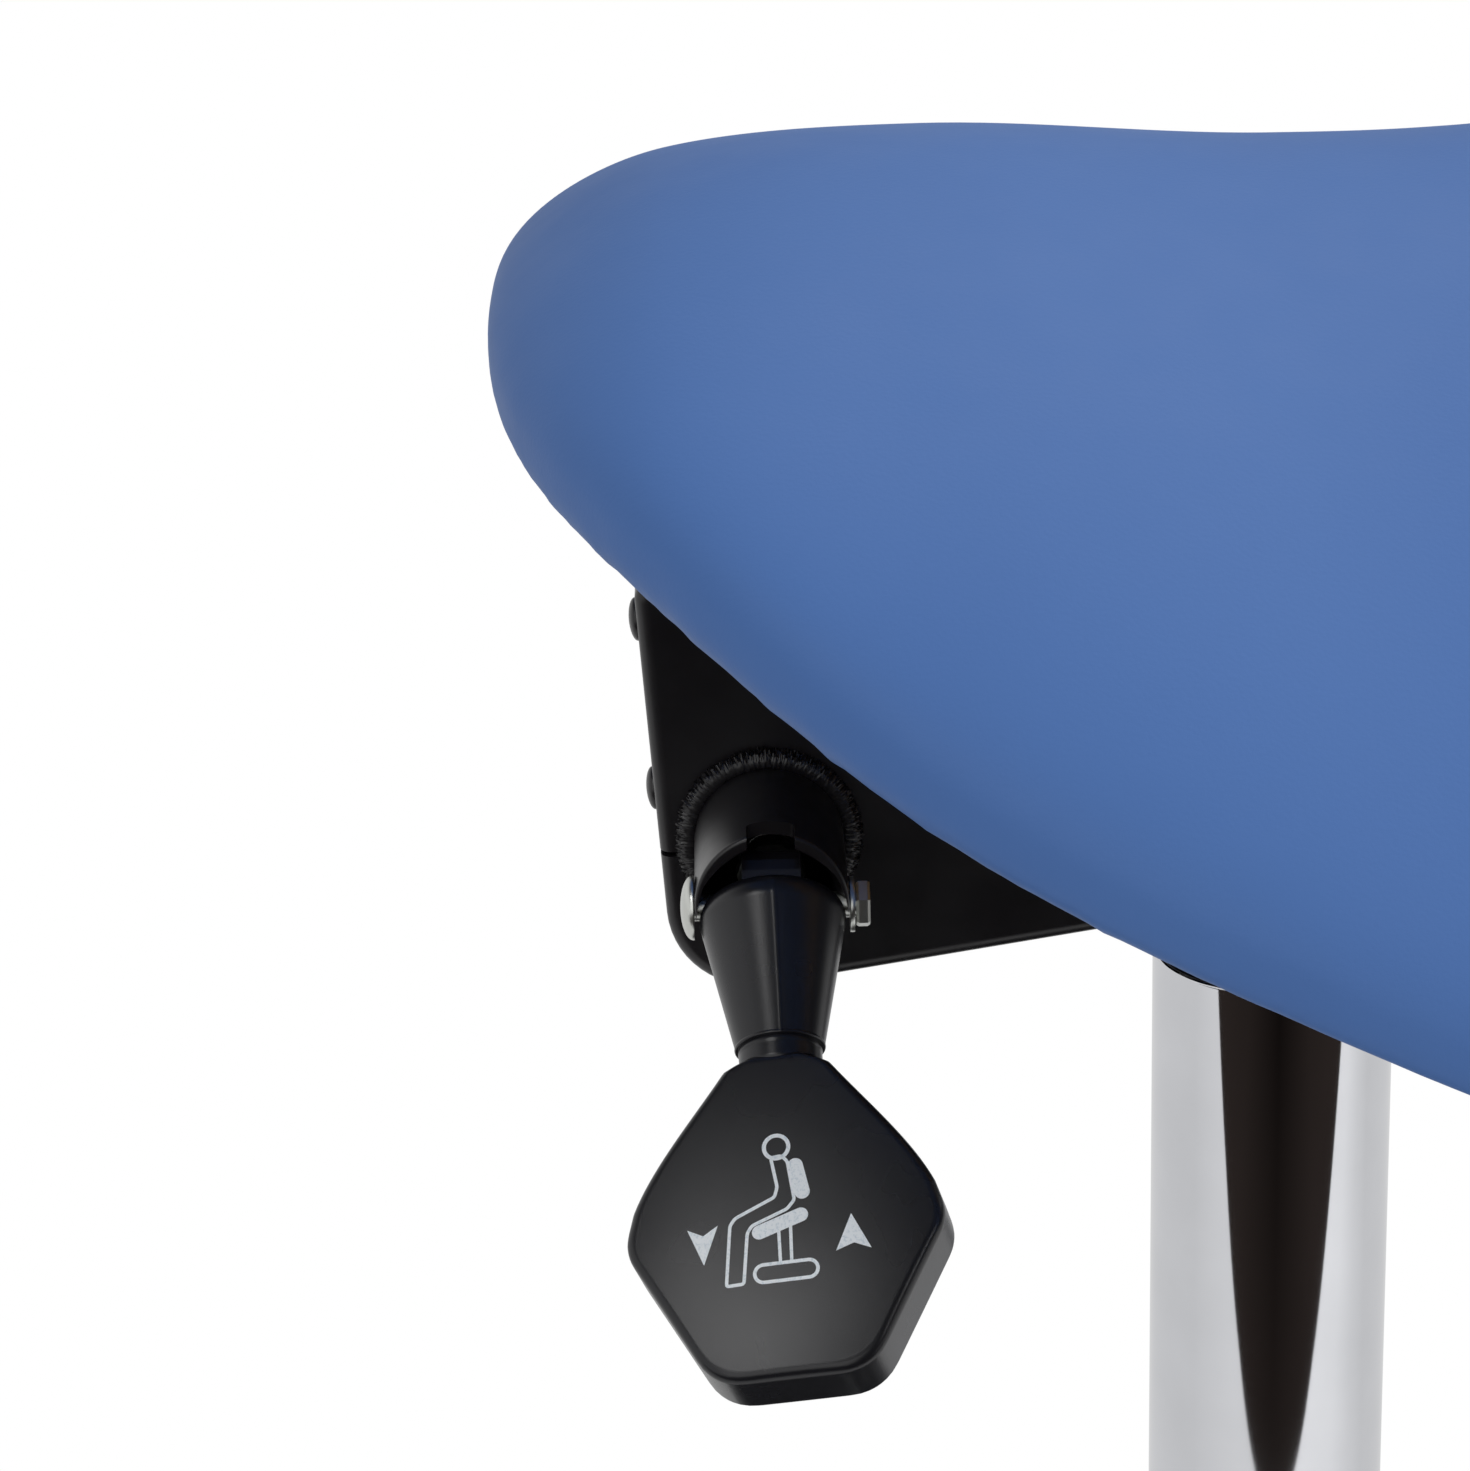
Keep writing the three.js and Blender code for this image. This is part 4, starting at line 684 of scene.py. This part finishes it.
def weld_bead():
    """A ring whose section swells a little with each pulse, and whose two toes are rough."""
    s, a = around(WELD_STEPS[0])[:, None], around(WELD_STEPS[1])[None, :]
    grit = np.random.default_rng(5).normal(0, 0.15, WELD_STEPS)
    pulse = 0.012 * np.sin(44 * a + 1.5 * np.cos(s)) + 0.01 * np.sin(97 * a + 2)
    section = WELD_SIZE * (1 + pulse + grit * np.cos(s) ** 2)
    radius = WELD_RING + section * np.cos(s)
    x = np.maximum(ROOT + 0.9 + section * 0.85 * np.sin(s), ROOT)
    ring = np.stack([x, radius * np.cos(a), radius * np.sin(a)], -1)
    return placed((ring, grid_faces(*WELD_STEPS)), offset=LOCK)


def make_tube():
    """The tube, its mouth's notch and swing room, and the weld round its root."""
    wall = [(BORE, ROOT), (TUBE, ROOT), (TUBE, MOUTH), (BORE, MOUTH)]
    tube = solid("lever_tube_welded", placed(lathe(wall, [0, 0, EASE, EASE], 128), ALONG_X, LOCK))
    notch = plate(eased([(80.5, -4.5), (92, -4.5), (92, 4.5), (80.5, 4.5)], 0.9), 4, 20)
    bolt = placed(rod(2.8, -20, 20), ALONG_Y, (80, 0, -2.8))
    carved(tube, placed(notch, offset=LOCK), placed(bolt, offset=LOCK), swing_room())
    work = bmesh.new()
    work.from_mesh(tube.data)
    work.from_mesh(shell_mesh(weld_bead()))
    work.to_mesh(tube.data)
    work.free()
    return tube


finished(make_tube(), "seat", black_coat, ["lever_tube"], sharp=38)

# %% [markdown]
# The pivot bolt is bright zinc. Its mushroom head faces the front, and a washer and a thin nut close
# it at the rear. A turned edge has a tiny chamfer, which draws the bright line round each piece.

# %% Pivot bolt, washer and nut
def hexagon(flats):
    """Six corners, a given distance across the flats."""
    a = np.radians(30 + 60 * np.arange(6))
    return np.column_stack([np.cos(a), np.sin(a)]) * flats / math.sqrt(3)


def hex_shell(flats, low, high, chamfer=0.5):
    """A hexagonal prism whose corners are turned off at both ends."""
    rings = [at_height(hexagon(flats) * share, z) for share, z in
             ((0.93, low), (1, low + chamfer), (1, high - chamfer), (0.93, high))]
    return pulled(rings)


def across(shell):
    """Along y at the pivot pin."""
    return placed(shell, ALONG_Y, PIN)


mushroom = [*dome(6.1, -2.3, -14.95), (6.1, -14.65), (2.5, -14.65), (2.5, 18.4), (0, 18.4)]
bolt = solid("lever_bolt_mushroom", across(lathe(mushroom, 0.15, 64, 2)))
finished(bolt, "seat", bright_zinc, ["lever_bolt"], sharp=50)
washer = lathe([(2.8, 14.65), (5.3, 14.65), (5.3, 15.55), (2.8, 15.55)], 0.15, 64, 2)
finished(solid("lever_bolt_washer", across(washer)), "seat", bright_zinc, ["lever_washer"])
nut = carved(solid("lever_bolt_nut", across(hex_shell(8, 15.85, 18.45))), across(rod(2.7, 10, 30)))
finished(nut, "seat", bright_zinc, ["lever_nut"], sharp=25)

# %% [markdown]
# The sleeve tapers down to the paddle's neck. It came out of a two-part mould, so a thin raised line
# runs down its middle, and its end has a small rim.

# %% Sleeves
SEAM_RISE, SEAM_WIDTH = 0.14, 0.022


def sleeve_shell():
    """A lathe whose radius is raised in a narrow line at two opposite sides."""
    rim = [(8.35, 29.1), (8.5, 29.3), (8.4, 29.7), (6.4, 29.7), (6.4, 29.2), (0, 29.2)]
    profile = eased(SLEEVE[:5] + rim, [0, 2, 1.8, 1.3, 1.5, 0.3, 0.2, 0.2, 0.1, 0.1, 0], 5)
    a = around(216)
    from_seam = np.stack([a - np.pi, np.minimum(a, 2 * np.pi - a)])
    seam = SEAM_RISE * np.exp(-(from_seam / SEAM_WIDTH) ** 2).sum(0)
    radius, height = profile[:, :1], profile[:, 1:]
    along = radius * (1 + seam / 13)
    points = np.stack([along * np.cos(a), along * np.sin(a), height + 0 * a], -1)
    return points @ ALONG_X.T, grid_faces(len(profile), 216)


HEIGHT_AXES = turn("y", 180 - DROOP_ANGLE)
HEIGHT_KNEE = PIVOT + (-64.0, 0, 0)
HEIGHT_SLEEVE = HEIGHT_KNEE + HEIGHT_AXES @ (16, 0, 0)
near_sleeve = carved(solid("tilt_sleeve", placed(sleeve_shell(), DROOP, LEVER)), across(rod(3.1, -16, 16)),
                     placed(rod(8.3, -5.8, 5.8, 64), ALONG_Y, LOCK + (80, 0, 0)))
finished(near_sleeve, "tilt_lever", lever_plastic, ["tilt_lever_sleeve"], sharp=40)
far_sleeve = solid("height_sleeve", placed(sleeve_shell(), HEIGHT_AXES, HEIGHT_SLEEVE))
finished(far_sleeve, "height_lever", lever_plastic, ["height_lever_sleeve"], sharp=40)

# %% [markdown]
# Each paddle is a five-sided flat grip, 16 mm thick, with soft edges and a round neck that flares into
# it. The outline is drawn once as a function of its inset, so that the edge's quarter round is just
# the same outline drawn a little smaller each time.

# %% Paddles
GRIP_MIDDLE = np.array([66.0, 0.0])
EDGE, WALL = 2.0, 5.4
NECK, WAIST_AT, END = 33.0, 68.4, 95.8
WAIST_HALF, END_HALF = 29.7, 14.3
FACE, CROWN_DROP, AHEAD, BEHIND, ASIDE = 8.6, 1.2, 29.5, 36.5, 27.5


def paddle_outline(inset):
    """Half width over the waist is 0.27 + 0.81 s + 0.44 s^2 - 0.52 s^3 from neck to waist; then the end."""
    start, end, waist = NECK + inset, END - inset, WAIST_HALF - inset
    s = np.linspace(0, 0.8, 20)
    width = waist * np.polyval([-0.523, 0.441, 0.813, 0.269], s)
    flare = np.column_stack([start + s * (WAIST_AT - start), width])
    half = np.concatenate([flare, [(WAIST_AT, waist), (end, END_HALF - inset / 2)]])
    reach = np.array([0.1] * 20 + [6.0] * 4 + [0.1] * 20)
    outline = eased(np.concatenate([half, half[::-1] * (1, -1)]), reach, 6)
    closed = np.concatenate([outline, outline[:1]])
    run = np.r_[0, np.cumsum(np.linalg.norm(np.diff(closed, axis=0), axis=1))]
    even = np.linspace(0, run[-1], 240, endpoint=False)
    return np.column_stack([np.interp(even, run, closed[:, 0]), np.interp(even, run, closed[:, 1])])


def face_height(points):
    """Highest in the middle, and lower by the elliptical share of the way out, to the power 2.5."""
    out = np.asarray(points, float) - GRIP_MIDDLE
    share = np.hypot(out[..., 0] / np.where(out[..., 0] > 0, AHEAD, BEHIND), out[..., 1] / ASIDE)
    return FACE - CROWN_DROP * np.minimum(share, 1.1) ** 2.5


def paddle_shell():
    """Side wall, quarter-round edges and crowned faces, all drawn into a circle near the neck."""
    rim = paddle_outline(EDGE)
    rise = face_height(rim) - WALL
    wall = [np.column_stack([paddle_outline(EDGE - EDGE * math.cos(a)), WALL + rise * math.sin(a)])
            for a in np.linspace(0, np.pi / 2, 9)]
    rows = [GRIP_MIDDLE + (rim - GRIP_MIDDLE) * share
            for share in (0.985, 0.96, 0.92, 0.86, 0.78, 0.66, 0.5, 0.3, 0.1, 0.02)]
    upper = np.array(wall + [np.column_stack([row, face_height(row)]) for row in rows])
    points = np.concatenate([upper[::-1] * (1, 1, -1), upper])
    allowed = 7.7 + 1.5 * np.maximum(points[..., :1] - NECK - 0.2, 0)
    reach = np.linalg.norm(points[..., 1:], axis=-1, keepdims=True)
    points[..., 1:] *= np.minimum(1, allowed / np.maximum(reach, 1e-6))
    return pulled(points)


def neck_shell():
    """A round neck with a fine ring where it meets the sleeve, flaring into the grip."""
    profile = [(0, 29.4), (7.7, 29.4), (7.85, 30.4), (7.75, 30.9), (7.75, 33.8), (7.3, 34.6), (5.5, 40),
               (0, 40)]
    return placed(lathe(profile, [0, 0.2, 0.3, 0.4, 0.5, 0.5, 1, 0], 96), ALONG_X)


def make_paddle(name, axes, origin):
    """Grip and neck, turned and moved into place."""
    return solid(name, placed(paddle_shell(), axes, origin), placed(neck_shell(), axes, origin))


PADDLE_AXES = DROOP @ turn("x", 11.6)
grip = make_paddle("tilt_paddle", PADDLE_AXES, LEVER)
finished(grip, "tilt_lever", lever_plastic, ["tilt_lever_paddle"], sharp=50)
far_grip = make_paddle("height_paddle", HEIGHT_AXES, HEIGHT_SLEEVE)
finished(far_grip, "height_lever", lever_plastic, ["height_lever_paddle"], sharp=50)

# %% [markdown]
# The symbol is pad printed: a sitter on a seat, with an arrowhead on either side for which way the
# lever tilts it. Printed ink is a few hundredths of a millimetre thick, so it is made as flat ribbons
# and patches that stand just proud of the plastic.

# %% The printed symbol
def make_ink():
    """Matt white ink with pinholes, thin enough for the grey below to show in places."""
    worn = Cloud(1500, 3, 0.7, 0.35, 0.5)
    return make_finish("white_ink", (colour("d3dde4"), colour("eef3f6")), worn,
                       worn._replace(at_low=0.7, at_high=0.55), IOR=1.45)


INK_LOW, INK_HIGH = -0.15, 0.04


def laid_on(outline, proud):
    """A flat outline laid on the grip's crowned face, so far proud of it."""
    return np.column_stack([outline, face_height(outline) + proud])


def ribbon(path, width):
    """A closed line of a given width: each point moves both ways along the mitre of its two sides."""
    path = np.asarray(path, float)
    ahead, behind = np.roll(path, -1, 0) - path, path - np.roll(path, 1, 0)
    normals = [np.column_stack([-side[:, 1], side[:, 0]]) for side in (unit(ahead), unit(behind))]
    mitre = normals[0] + normals[1]
    mitre /= np.maximum((mitre * normals[0]).sum(1, keepdims=True), 0.35)
    out, into = path + mitre * width / 2, path - mitre * width / 2
    rings = [laid_on(into, INK_LOW), laid_on(out, INK_LOW), laid_on(out, INK_HIGH), laid_on(into, INK_HIGH)]
    return np.array(rings), grid_faces(4, len(path))


def oval(start, end, radius, steps=14):
    """A bar with round ends between two points, as an outline."""
    start, end = np.asarray(start, float), np.asarray(end, float)
    heading = math.atan2(*(end - start)[::-1])
    a = np.linspace(-np.pi / 2, np.pi / 2, steps) + heading
    cap = np.column_stack([np.cos(a), np.sin(a)]) * radius
    return np.concatenate([end + cap, start - cap])


def patch(outline):
    """A filled shape in ink."""
    return pulled([laid_on(outline, INK_LOW), laid_on(outline, INK_HIGH)])


sitter = [(54.4, -1.5), (60.2, -0.6), (62.1, -1.2), (65.3, -8.6), (66.6, -9.6), (78.0, -10.8), (77.9, -7.6),
          (68.4, -6.5), (67.1, -5.6), (64.6, 1.0), (63.0, 2.4), (55.4, 1.5), (54.2, 0.4)]
a = around(40)
round_head = (52.4, -0.4) + 2.25 * np.column_stack([np.cos(a), np.sin(a)])
near_post = [(68.4, -1.05), (74.6, -1.05), (74.6, -0.45), (68.4, -0.45)]
far_post = [(67.6, 1.15), (74.6, 1.0), (74.6, 1.6), (67.6, 1.75)]
arrow_down = [(66.4, -17.5), (67.9, -14.6), (66.2, -11.8), (73.5, -14.7)]
arrow_up = [(66.8, 12.5), (73.7, 15.8), (72.4, 12.7), (73.6, 9.4)]
ink_shapes = [
    ribbon(round_head, 0.75),
    ribbon(eased(sitter, 0.5, 3), 0.62),
    ribbon(oval((76.4, -3.9), (76.35, 4.3), 1.65), 0.65),
    patch(oval((56.4, 2.9), (61.6, 3.9), 1.4)),
    patch(oval((68.5, -4.3), (66.0, 3.4), 1.35)),
    *(patch(outline) for outline in (near_post, far_post, arrow_down, arrow_up)),
]
ink = make_ink()
symbol = solid("tilt_symbol", *[placed(shape, PADDLE_AXES, LEVER) for shape in ink_shapes])
finished(symbol, "tilt_lever", ink, sharp=30)

# %% [markdown]
# ## The height lever's rod
#
# On the far side a bent rod runs through the hollow pivot stud and presses the gas spring's button. A
# bent rod is a circle carried along a path, with its frame kept upright at each step.

# %% The bent rod
def swept(path, radius, facets=32):
    """A circle at every point of a path, square to the path there; both ends closed."""
    path = np.asarray(path, float)
    ahead = unit(np.gradient(path, axis=0))
    side = unit(np.cross(ahead, (0, 1, 0)))
    upright = np.cross(side, ahead)
    a = around(facets)[None, :, None]
    return pulled(path[:, None] + radius * (np.cos(a) * side[:, None] + np.sin(a) * upright[:, None]))


knee_in, knee_out = HEIGHT_KNEE + (9, 0, 0), HEIGHT_KNEE + HEIGHT_AXES @ (9, 0, 0)
t = np.linspace(0, 1, 14)[:, None]
bend = (1 - t) ** 2 * knee_in + 2 * t * (1 - t) * HEIGHT_KNEE + t ** 2 * knee_out
inner, outer = [PIVOT + (8, 0, 0), PIVOT + (-20, 0, 0)], [HEIGHT_KNEE + HEIGHT_AXES @ (50, 0, 0)]
rod_path = np.concatenate([inner, bend, outer])
hub = [(2.8, -5.2), (6.5, -5.2), (6.5, 5.2), (2.8, 5.2)]
bent = solid("height_rod_bent", swept(rod_path, 4), placed(lathe(hub, 0.5, 48), ALONG_Y, PIVOT + (-15, 0, 0)))
finished(bent, "height_lever", black_coat, ["height_lever_rod"], sharp=40)

# %% [markdown]
# A coil spring pushes the clamp bolt back when the tilt lever is let go. Its inner end rests on the
# frame and its outer end follows the bolt's head, so it is blended between the two.

# %% Clamp spring
def make_spring(turns=5, radius=5.5, wire=0.6, low=51.25, length=14.5):
    """A circle of the wire carried along a helix: out is radial, ahead runs along the wire."""
    t = np.linspace(0, 2 * np.pi * turns, 40 * turns + 1)[:, None]
    out = np.concatenate([0 * t, np.cos(t), np.sin(t)], 1)
    along = np.array([length / (2 * np.pi * turns), 0, 0])
    ahead = unit(along + radius * np.concatenate([0 * t, -np.sin(t), np.cos(t)], 1))
    middle = LOCK + (low, 0, 0) + along * t + radius * out
    a = around(16)[None, :, None]
    section = np.cos(a) * out[:, None] + np.sin(a) * np.cross(ahead, out)[:, None]
    return pulled(middle[:, None] + wire * section)


spring = finished(solid("clamp_spring_wound", make_spring()), None, zinc, ["clamp_spring"], sharp=60)
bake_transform(spring)

# %% [markdown]
# ## Pivots and the column
#
# These are turned pieces, so each is a lathe: a profile of radius and height, with its corners eased.
# The stand tube is chromed, and its lip is rolled smooth.

# %% Turned pieces
def turned_piece(name, profile, body, material, node, ease=0.4, facets=96, matrix=np.eye(3),
                 offset=(0, 0, 0)):
    """One lathe, placed and finished."""
    return finished(solid(name, placed(lathe(profile, ease, facets), matrix, offset)), body, material, [node])


for side, end, bore in ((1, "near", 0), (-1, "far", 8)):
    stud = [(bore, 26), (10.5, 26), (10.5, 50.6), (16, 50.6), (16, 53.6), (bore, 53.6)]
    across_x = ALONG_X if side > 0 else ALONG_X @ np.diag([1, 1, -1.0])
    turned_piece(f"stud_{end}", stud, "carrier", dark_steel, f"pivot_stud_{end}", 0.7,
                 matrix=across_x, offset=PIVOT)

turned_piece("column_stand", [(4.6, 100), (25, 100), (25, 414), (23, 414), (23, 104), (4.6, 104)], "stand",
             chrome, "stand_tube", [0.3, 1, 0.9, 0.9, 1, 0.3], 192)
bush = [(14.6, 334), (22.7, 334), (22.7, 414.3), (24.7, 414.3), (24.7, 417.3), (14.6, 417.3)]
turned_piece("column_bush", bush, "stand", cover_plastic, "guide_bush", [0.5, 0.5, 0.3, 0.8, 1.2, 0.8], 128)
cylinder = [(5.6, 127), (14, 127), (14, 428), (13, 464), (3.6, 464), (3.6, 442), (11, 442), (11, 135),
            (5.6, 135)]
turned_piece("gas_cylinder_turned", cylinder, "carrier", dark_steel, "gas_cylinder", 0.6, 128)
socket = [(0, 61.3), (45, 61.3), (45, 69.3), (32, 77.3), (29, 150), (25.3, 150), (25.3, 99.7), (18, 99.7),
          (18, 93.7), (0, 93.7)]
turned_piece("foot_socket_turned", socket, "stand", foot_coat, "foot_socket",
             [0, 1.2, 1.5, 4, 1, 0.5, 0.5, 0.5, 0.5, 0], 144)

# %% [markdown]
# ## The base
#
# The base is out of the photograph, so it is guessed: a heavy steel plate on a rubber ring, a thin
# domed cover, and two blocks of layered rubber that let the column rock.

# %% Ring, plates and cover
def cover_profile():
    """A quarter oval from the rim up to the opening, 3 mm thick, with a small lip turned down inside."""
    t = np.linspace(0, np.pi / 2, 24)
    radius, height = 207 - 143 * (1 - np.cos(t)), 21.3 + 29 * np.sin(t)
    under = np.column_stack([radius - 3 * np.cos(t), np.maximum(height - 3, 18.3)])
    top = np.column_stack([radius, height])
    return np.concatenate([[(207, 18.3)], top, under[::-1]])


floor_ring = [(150, 0), (207.2, 0), (210, 2.8), (210, 18), (200.3, 18), (200.3, 5.7), (150, 5.7)]
turned_piece("floor_ring_moulded", floor_ring, "base", floor_rubber, "floor_ring",
             [1, 1, 1, 1.2, 0.4, 0.4, 1], 256)
turned_piece("weight_plate_cut", [(0, 6), (200, 6), (200, 18), (0, 18)], "base", plate_steel,
             "weight_plate", 0.8, 256)
cover_piece = solid("base_cover_domed", lathe(cover_profile(), 0.5, 256, 2))
finished(cover_piece, "base", cover_plastic, ["base_cover"], sharp=50)
turned_piece("interleaf_turned", [(0, 40.3), (45, 40.3), (45, 45.3), (0, 45.3)], "interleaf", zinc,
             "interleaf_plate", 0.8, 144)


def rubber_block(low, high):
    """Radius 42 at the plates, drawn in to 38, with a small bulge in each of three layers."""
    t = np.linspace(0, 1, 40)
    waist = 42 - 4 * np.clip(np.minimum(t, 1 - t) / 0.2, 0, 1) ** 0.7
    bulge = 0.9 * np.abs(np.sin(3 * np.pi * t)) ** 0.5
    side = np.column_stack([waist + bulge, low + (high - low) * t])
    return np.concatenate([[(0, low)], side, [(0, high)]])


for name, low, high, below, above in (("lower_rubber", 24.6, 40.0, "base", "interleaf"),
                                      ("upper_rubber", 45.6, 61.0, "interleaf", "stand")):
    block = solid(name + "_layered", lathe(rubber_block(low, high), 0, 144, 1))
    finished(block, None, joint_rubber, [name], sharp=60)
    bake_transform(block)

# %% [markdown]
# ## The measured pieces that stay
#
# Bolts, balls, races, the carrier and the clamp are right as they were measured. They keep their own
# shape and take a finish for what they are made of.

# %% Finishes for the carried-over solids
FINISH_OF_SLOT = {
    "vinyl": vinyl, "plywood": plywood, "block_plastic": block_plastic, "chrome": chrome,
    "cylinder_steel": dark_steel, "bush_plastic": cover_plastic, "frame_paint": black_coat,
    "lever_steel": black_coat, "lever_plastic": lever_plastic, "bright_zinc": bright_zinc,
    "rivet_paint": black_coat, "cover_plastic": cover_plastic, "floor_rubber": floor_rubber,
    "plate_steel": plate_steel, "joint_rubber": joint_rubber, "nylon": nylon, "brake_fibre": fibre,
    "dark_steel": dark_steel, "zinc_steel": zinc,
}
for node, piece in frame["nodes"].items():
    if not piece.material_slots:
        piece.data.materials.append(None)
    for place in piece.material_slots:
        place.material = FINISH_OF_SLOT[SLOTS[node]]
print("measured solids given a finish:", len(frame["nodes"]))

# %% [markdown]
# ## Studio
#
# The photograph is a packshot: a white sweep under and behind the stool, soft light from above and
# from the left, and a dark studio behind the camera that the black paint and the chrome reflect. The
# camera sees plain white all round, and mirrors see grey walls and dark cards instead.

# %% Floor, sweep and dark studio
def flat_stage(name, outline, height, material):
    """A flat stage piece, which isn't part of the object."""
    mesh = bpy.data.meshes.new(name)
    mesh.from_pydata([(x, y, height) for x, y in outline], [], [list(range(len(outline)))])
    mesh.materials.append(material)
    piece = linked(name, mesh)
    return piece


def make_floor_finish():
    """White cloth near the base, so that it takes a shadow, and plain white from half a metre out."""
    material = bpy.data.materials.new("studio_floor")
    tree = cleared(material)
    place = add_node(tree, "TexCoord")["Object"]
    axes, rays = add_node(tree, "SeparateXYZ", place), add_node(tree, "LightPath")
    away = add_node(tree, "VectorMath", place, operation="LENGTH")["Value"]
    far = add_node(tree, "MapRange", away, 0.25, 0.5, 0.35, 1)[0]
    seen = add_node(tree, "Math", rays["Is Camera Ray"], rays["Is Glossy Ray"], operation="MAXIMUM")[0]
    share = add_node(tree, "Math", far, seen, operation="MULTIPLY")[0]
    share = add_node(tree, "Math", share, rays["Is Glossy Ray"], operation="MAXIMUM")[0]
    right_side = add_node(tree, "MapRange", axes["Y"], -0.1, 0.15, 0, 1)[0]
    right_level = add_node(tree, "MapRange", axes["X"], -0.1, 0.3, 0, 0.18)[0]
    right_glow = add_node(tree, "Math", right_side, right_level, operation="MULTIPLY")[0]
    evenly = add_node(tree, "MapRange", axes["X"], 0.1, 0.5, 0.72, 0.81)[0]
    mirrored = add_node(tree, "Math", evenly, right_glow, operation="ADD")[0]
    level = add_node(tree, "Math", mirrored, rays["Is Camera Ray"], operation="MAXIMUM")[0]
    white = add_node(tree, "Emission", WHITE, level)[0]
    cloth = add_node(tree, "BsdfDiffuse", colour("e8e8e8"))[0]
    add_node(tree, "OutputMaterial", add_node(tree, "MixShader", share, cloth, white)[0])
    return material


def make_dark_card():
    """Brown black, for what only mirror rays see of the studio; it is darkest in line with the stool."""
    material = bpy.data.materials.new("studio_black")
    tree = cleared(material)
    axes = add_node(tree, "SeparateXYZ", add_node(tree, "TexCoord")["Object"])
    aside = add_node(tree, "Math", axes["Y"], operation="ABSOLUTE")[0]
    off_line = add_node(tree, "MapRange", aside, 0, 0.45, 0.15, 1)[0]
    near = add_node(tree, "MapRange", axes["X"], 0.6, 1.1, 0.9, 0.1)[0]
    level = add_node(tree, "Math", off_line, near, operation="ADD")[0]
    add_node(tree, "OutputMaterial", add_node(tree, "Emission", colour("201b19"), level)[0])
    return material


flat_stage("floor", [(-9, -9), (9, -9), (9, 9), (-9, 9)], -0.0005, make_floor_finish())
black_card = make_dark_card()
edge = [(0.5, -0.85), (0.53, -0.61), (0.547, -0.35), (0.545, -0.15), (0.53, 0.15), (0.507, 0.4), (0.47, 0.62),
        (0.435, 0.8)]
dark_floor = flat_stage("dark_floor", [(0.3, -2), *edge, (0.2, 2), (4, 2), (4, -2)], 0.002, black_card)
dark_wall = flat_stage("dark_wall", [(-2.2, -1.6), (3.2, -1.6), (3.2, 1.4), (-2.2, 1.4)], 0, black_card)
dark_wall.data.transform(Matrix(((0, 0, 1, 3.2), (1, 0, 0, 0), (0, 1, 0, 1.6), (0, 0, 0, 1))))
for card in (dark_floor, dark_wall):
    card.visible_camera = card.visible_diffuse = card.visible_shadow = card.visible_transmission = False

# %% World and lamps
def make_world(fill):
    """White for the camera; mirrors see a left wall, a backdrop and a dim ceiling; else an even fill."""
    world = bpy.data.worlds.new("studio")
    bpy.context.scene.world = world
    tree = cleared(world)
    heading = add_node(tree, "TexCoord")["Generated"]
    axes, rays = add_node(tree, "SeparateXYZ", heading), add_node(tree, "LightPath")
    leftwards = add_node(tree, "VectorMath", heading, (0.1, -1, 0), operation="DOT_PRODUCT")["Value"]
    left_wall = add_node(tree, "MapRange", leftwards, 0.1, 0.9, 0.04, 0.8)[0]
    backdrop = add_node(tree, "MapRange", axes["X"], -0.3, -0.9, 0, 0.35)[0]
    walls = add_node(tree, "Math", left_wall, backdrop, operation="ADD")[0]
    ceiling = add_node(tree, "MapRange", axes["Z"], 0.5, 0.85, 1, 0.15)[0]
    mirrored = add_node(tree, "Math", walls, ceiling, operation="MULTIPLY")[0]
    level = add_node(tree, "MapRange", rays["Is Glossy Ray"], 0, 1, fill, mirrored)[0]
    seen = add_node(tree, "Math", rays["Is Camera Ray"], rays["Is Transmission Ray"], operation="MAXIMUM")[0]
    level = add_node(tree, "MapRange", seen, 0, 1, level, 1)[0]
    add_node(tree, "OutputWorld", add_node(tree, "Background", WHITE, level)[0])


def area_lamp(name, place, aim, size, power):
    """A square soft box at a place, facing a point, in metres and watts."""
    lamp = bpy.data.lights.new(name, "AREA")
    lamp.shape, lamp.size, lamp.energy = "SQUARE", size, power
    piece = linked(name, lamp)
    away = unit(np.subtract(place, aim))
    side = unit(np.cross((0, 0, 1), away))
    basis = np.column_stack([side, np.cross(away, side), away])
    whole = np.eye(4)
    whole[:3, :3], whole[:3, 3] = basis, place
    piece.matrix_world = Matrix(whole.tolist())
    return piece


make_world(0.38)
MIDDLE = (0, 0, 0.5)
lamps = [
    area_lamp("softbox", (-1.157, 0.31, 2.345), MIDDLE, 1.0, 8),
    area_lamp("left_quarter", (-0.712, 1.527, 1.914), MIDDLE, 1.4, 18),
    area_lamp("rear_quarter", (0.933, 1.616, 1.666), MIDDLE, 1.0, 12.5),
    area_lamp("front_spot", (0.96, -0.852, 1.937), MIDDLE, 0.5, 3.7),
    area_lamp("low_fill", (2.296, -0.836, 1.389), MIDDLE, 1.8, 11),
]
print("lamps:", [lamp.name for lamp in lamps])

# %% [markdown]
# ## Camera
#
# The camera was fitted to the photograph: it looks from the saddle's side, 20 degrees down, and sees
# the front part of the seat. Its axes are right, up and backwards.

# %% Camera
camera_data = bpy.data.cameras.new("camera")
camera_data.lens, camera_data.sensor_width, camera_data.sensor_fit = 111.08, 36.0, "AUTO"
camera_data.clip_end = 60
camera = linked("camera", camera_data)
right, up, back = (0.00895, 0.99966, -0.02460), (-0.34190, 0.02618, 0.93937), (0.93969, 0.0, 0.34202)
view = np.eye(4)
view[:3, :3], view[:3, 3] = np.column_stack([right, up, back]), (0.872465, -0.110900, 0.780978)
camera.matrix_world = Matrix(view.tolist())
bpy.context.scene.camera = camera
bpy.context.scene.view_settings.view_transform = "Standard"
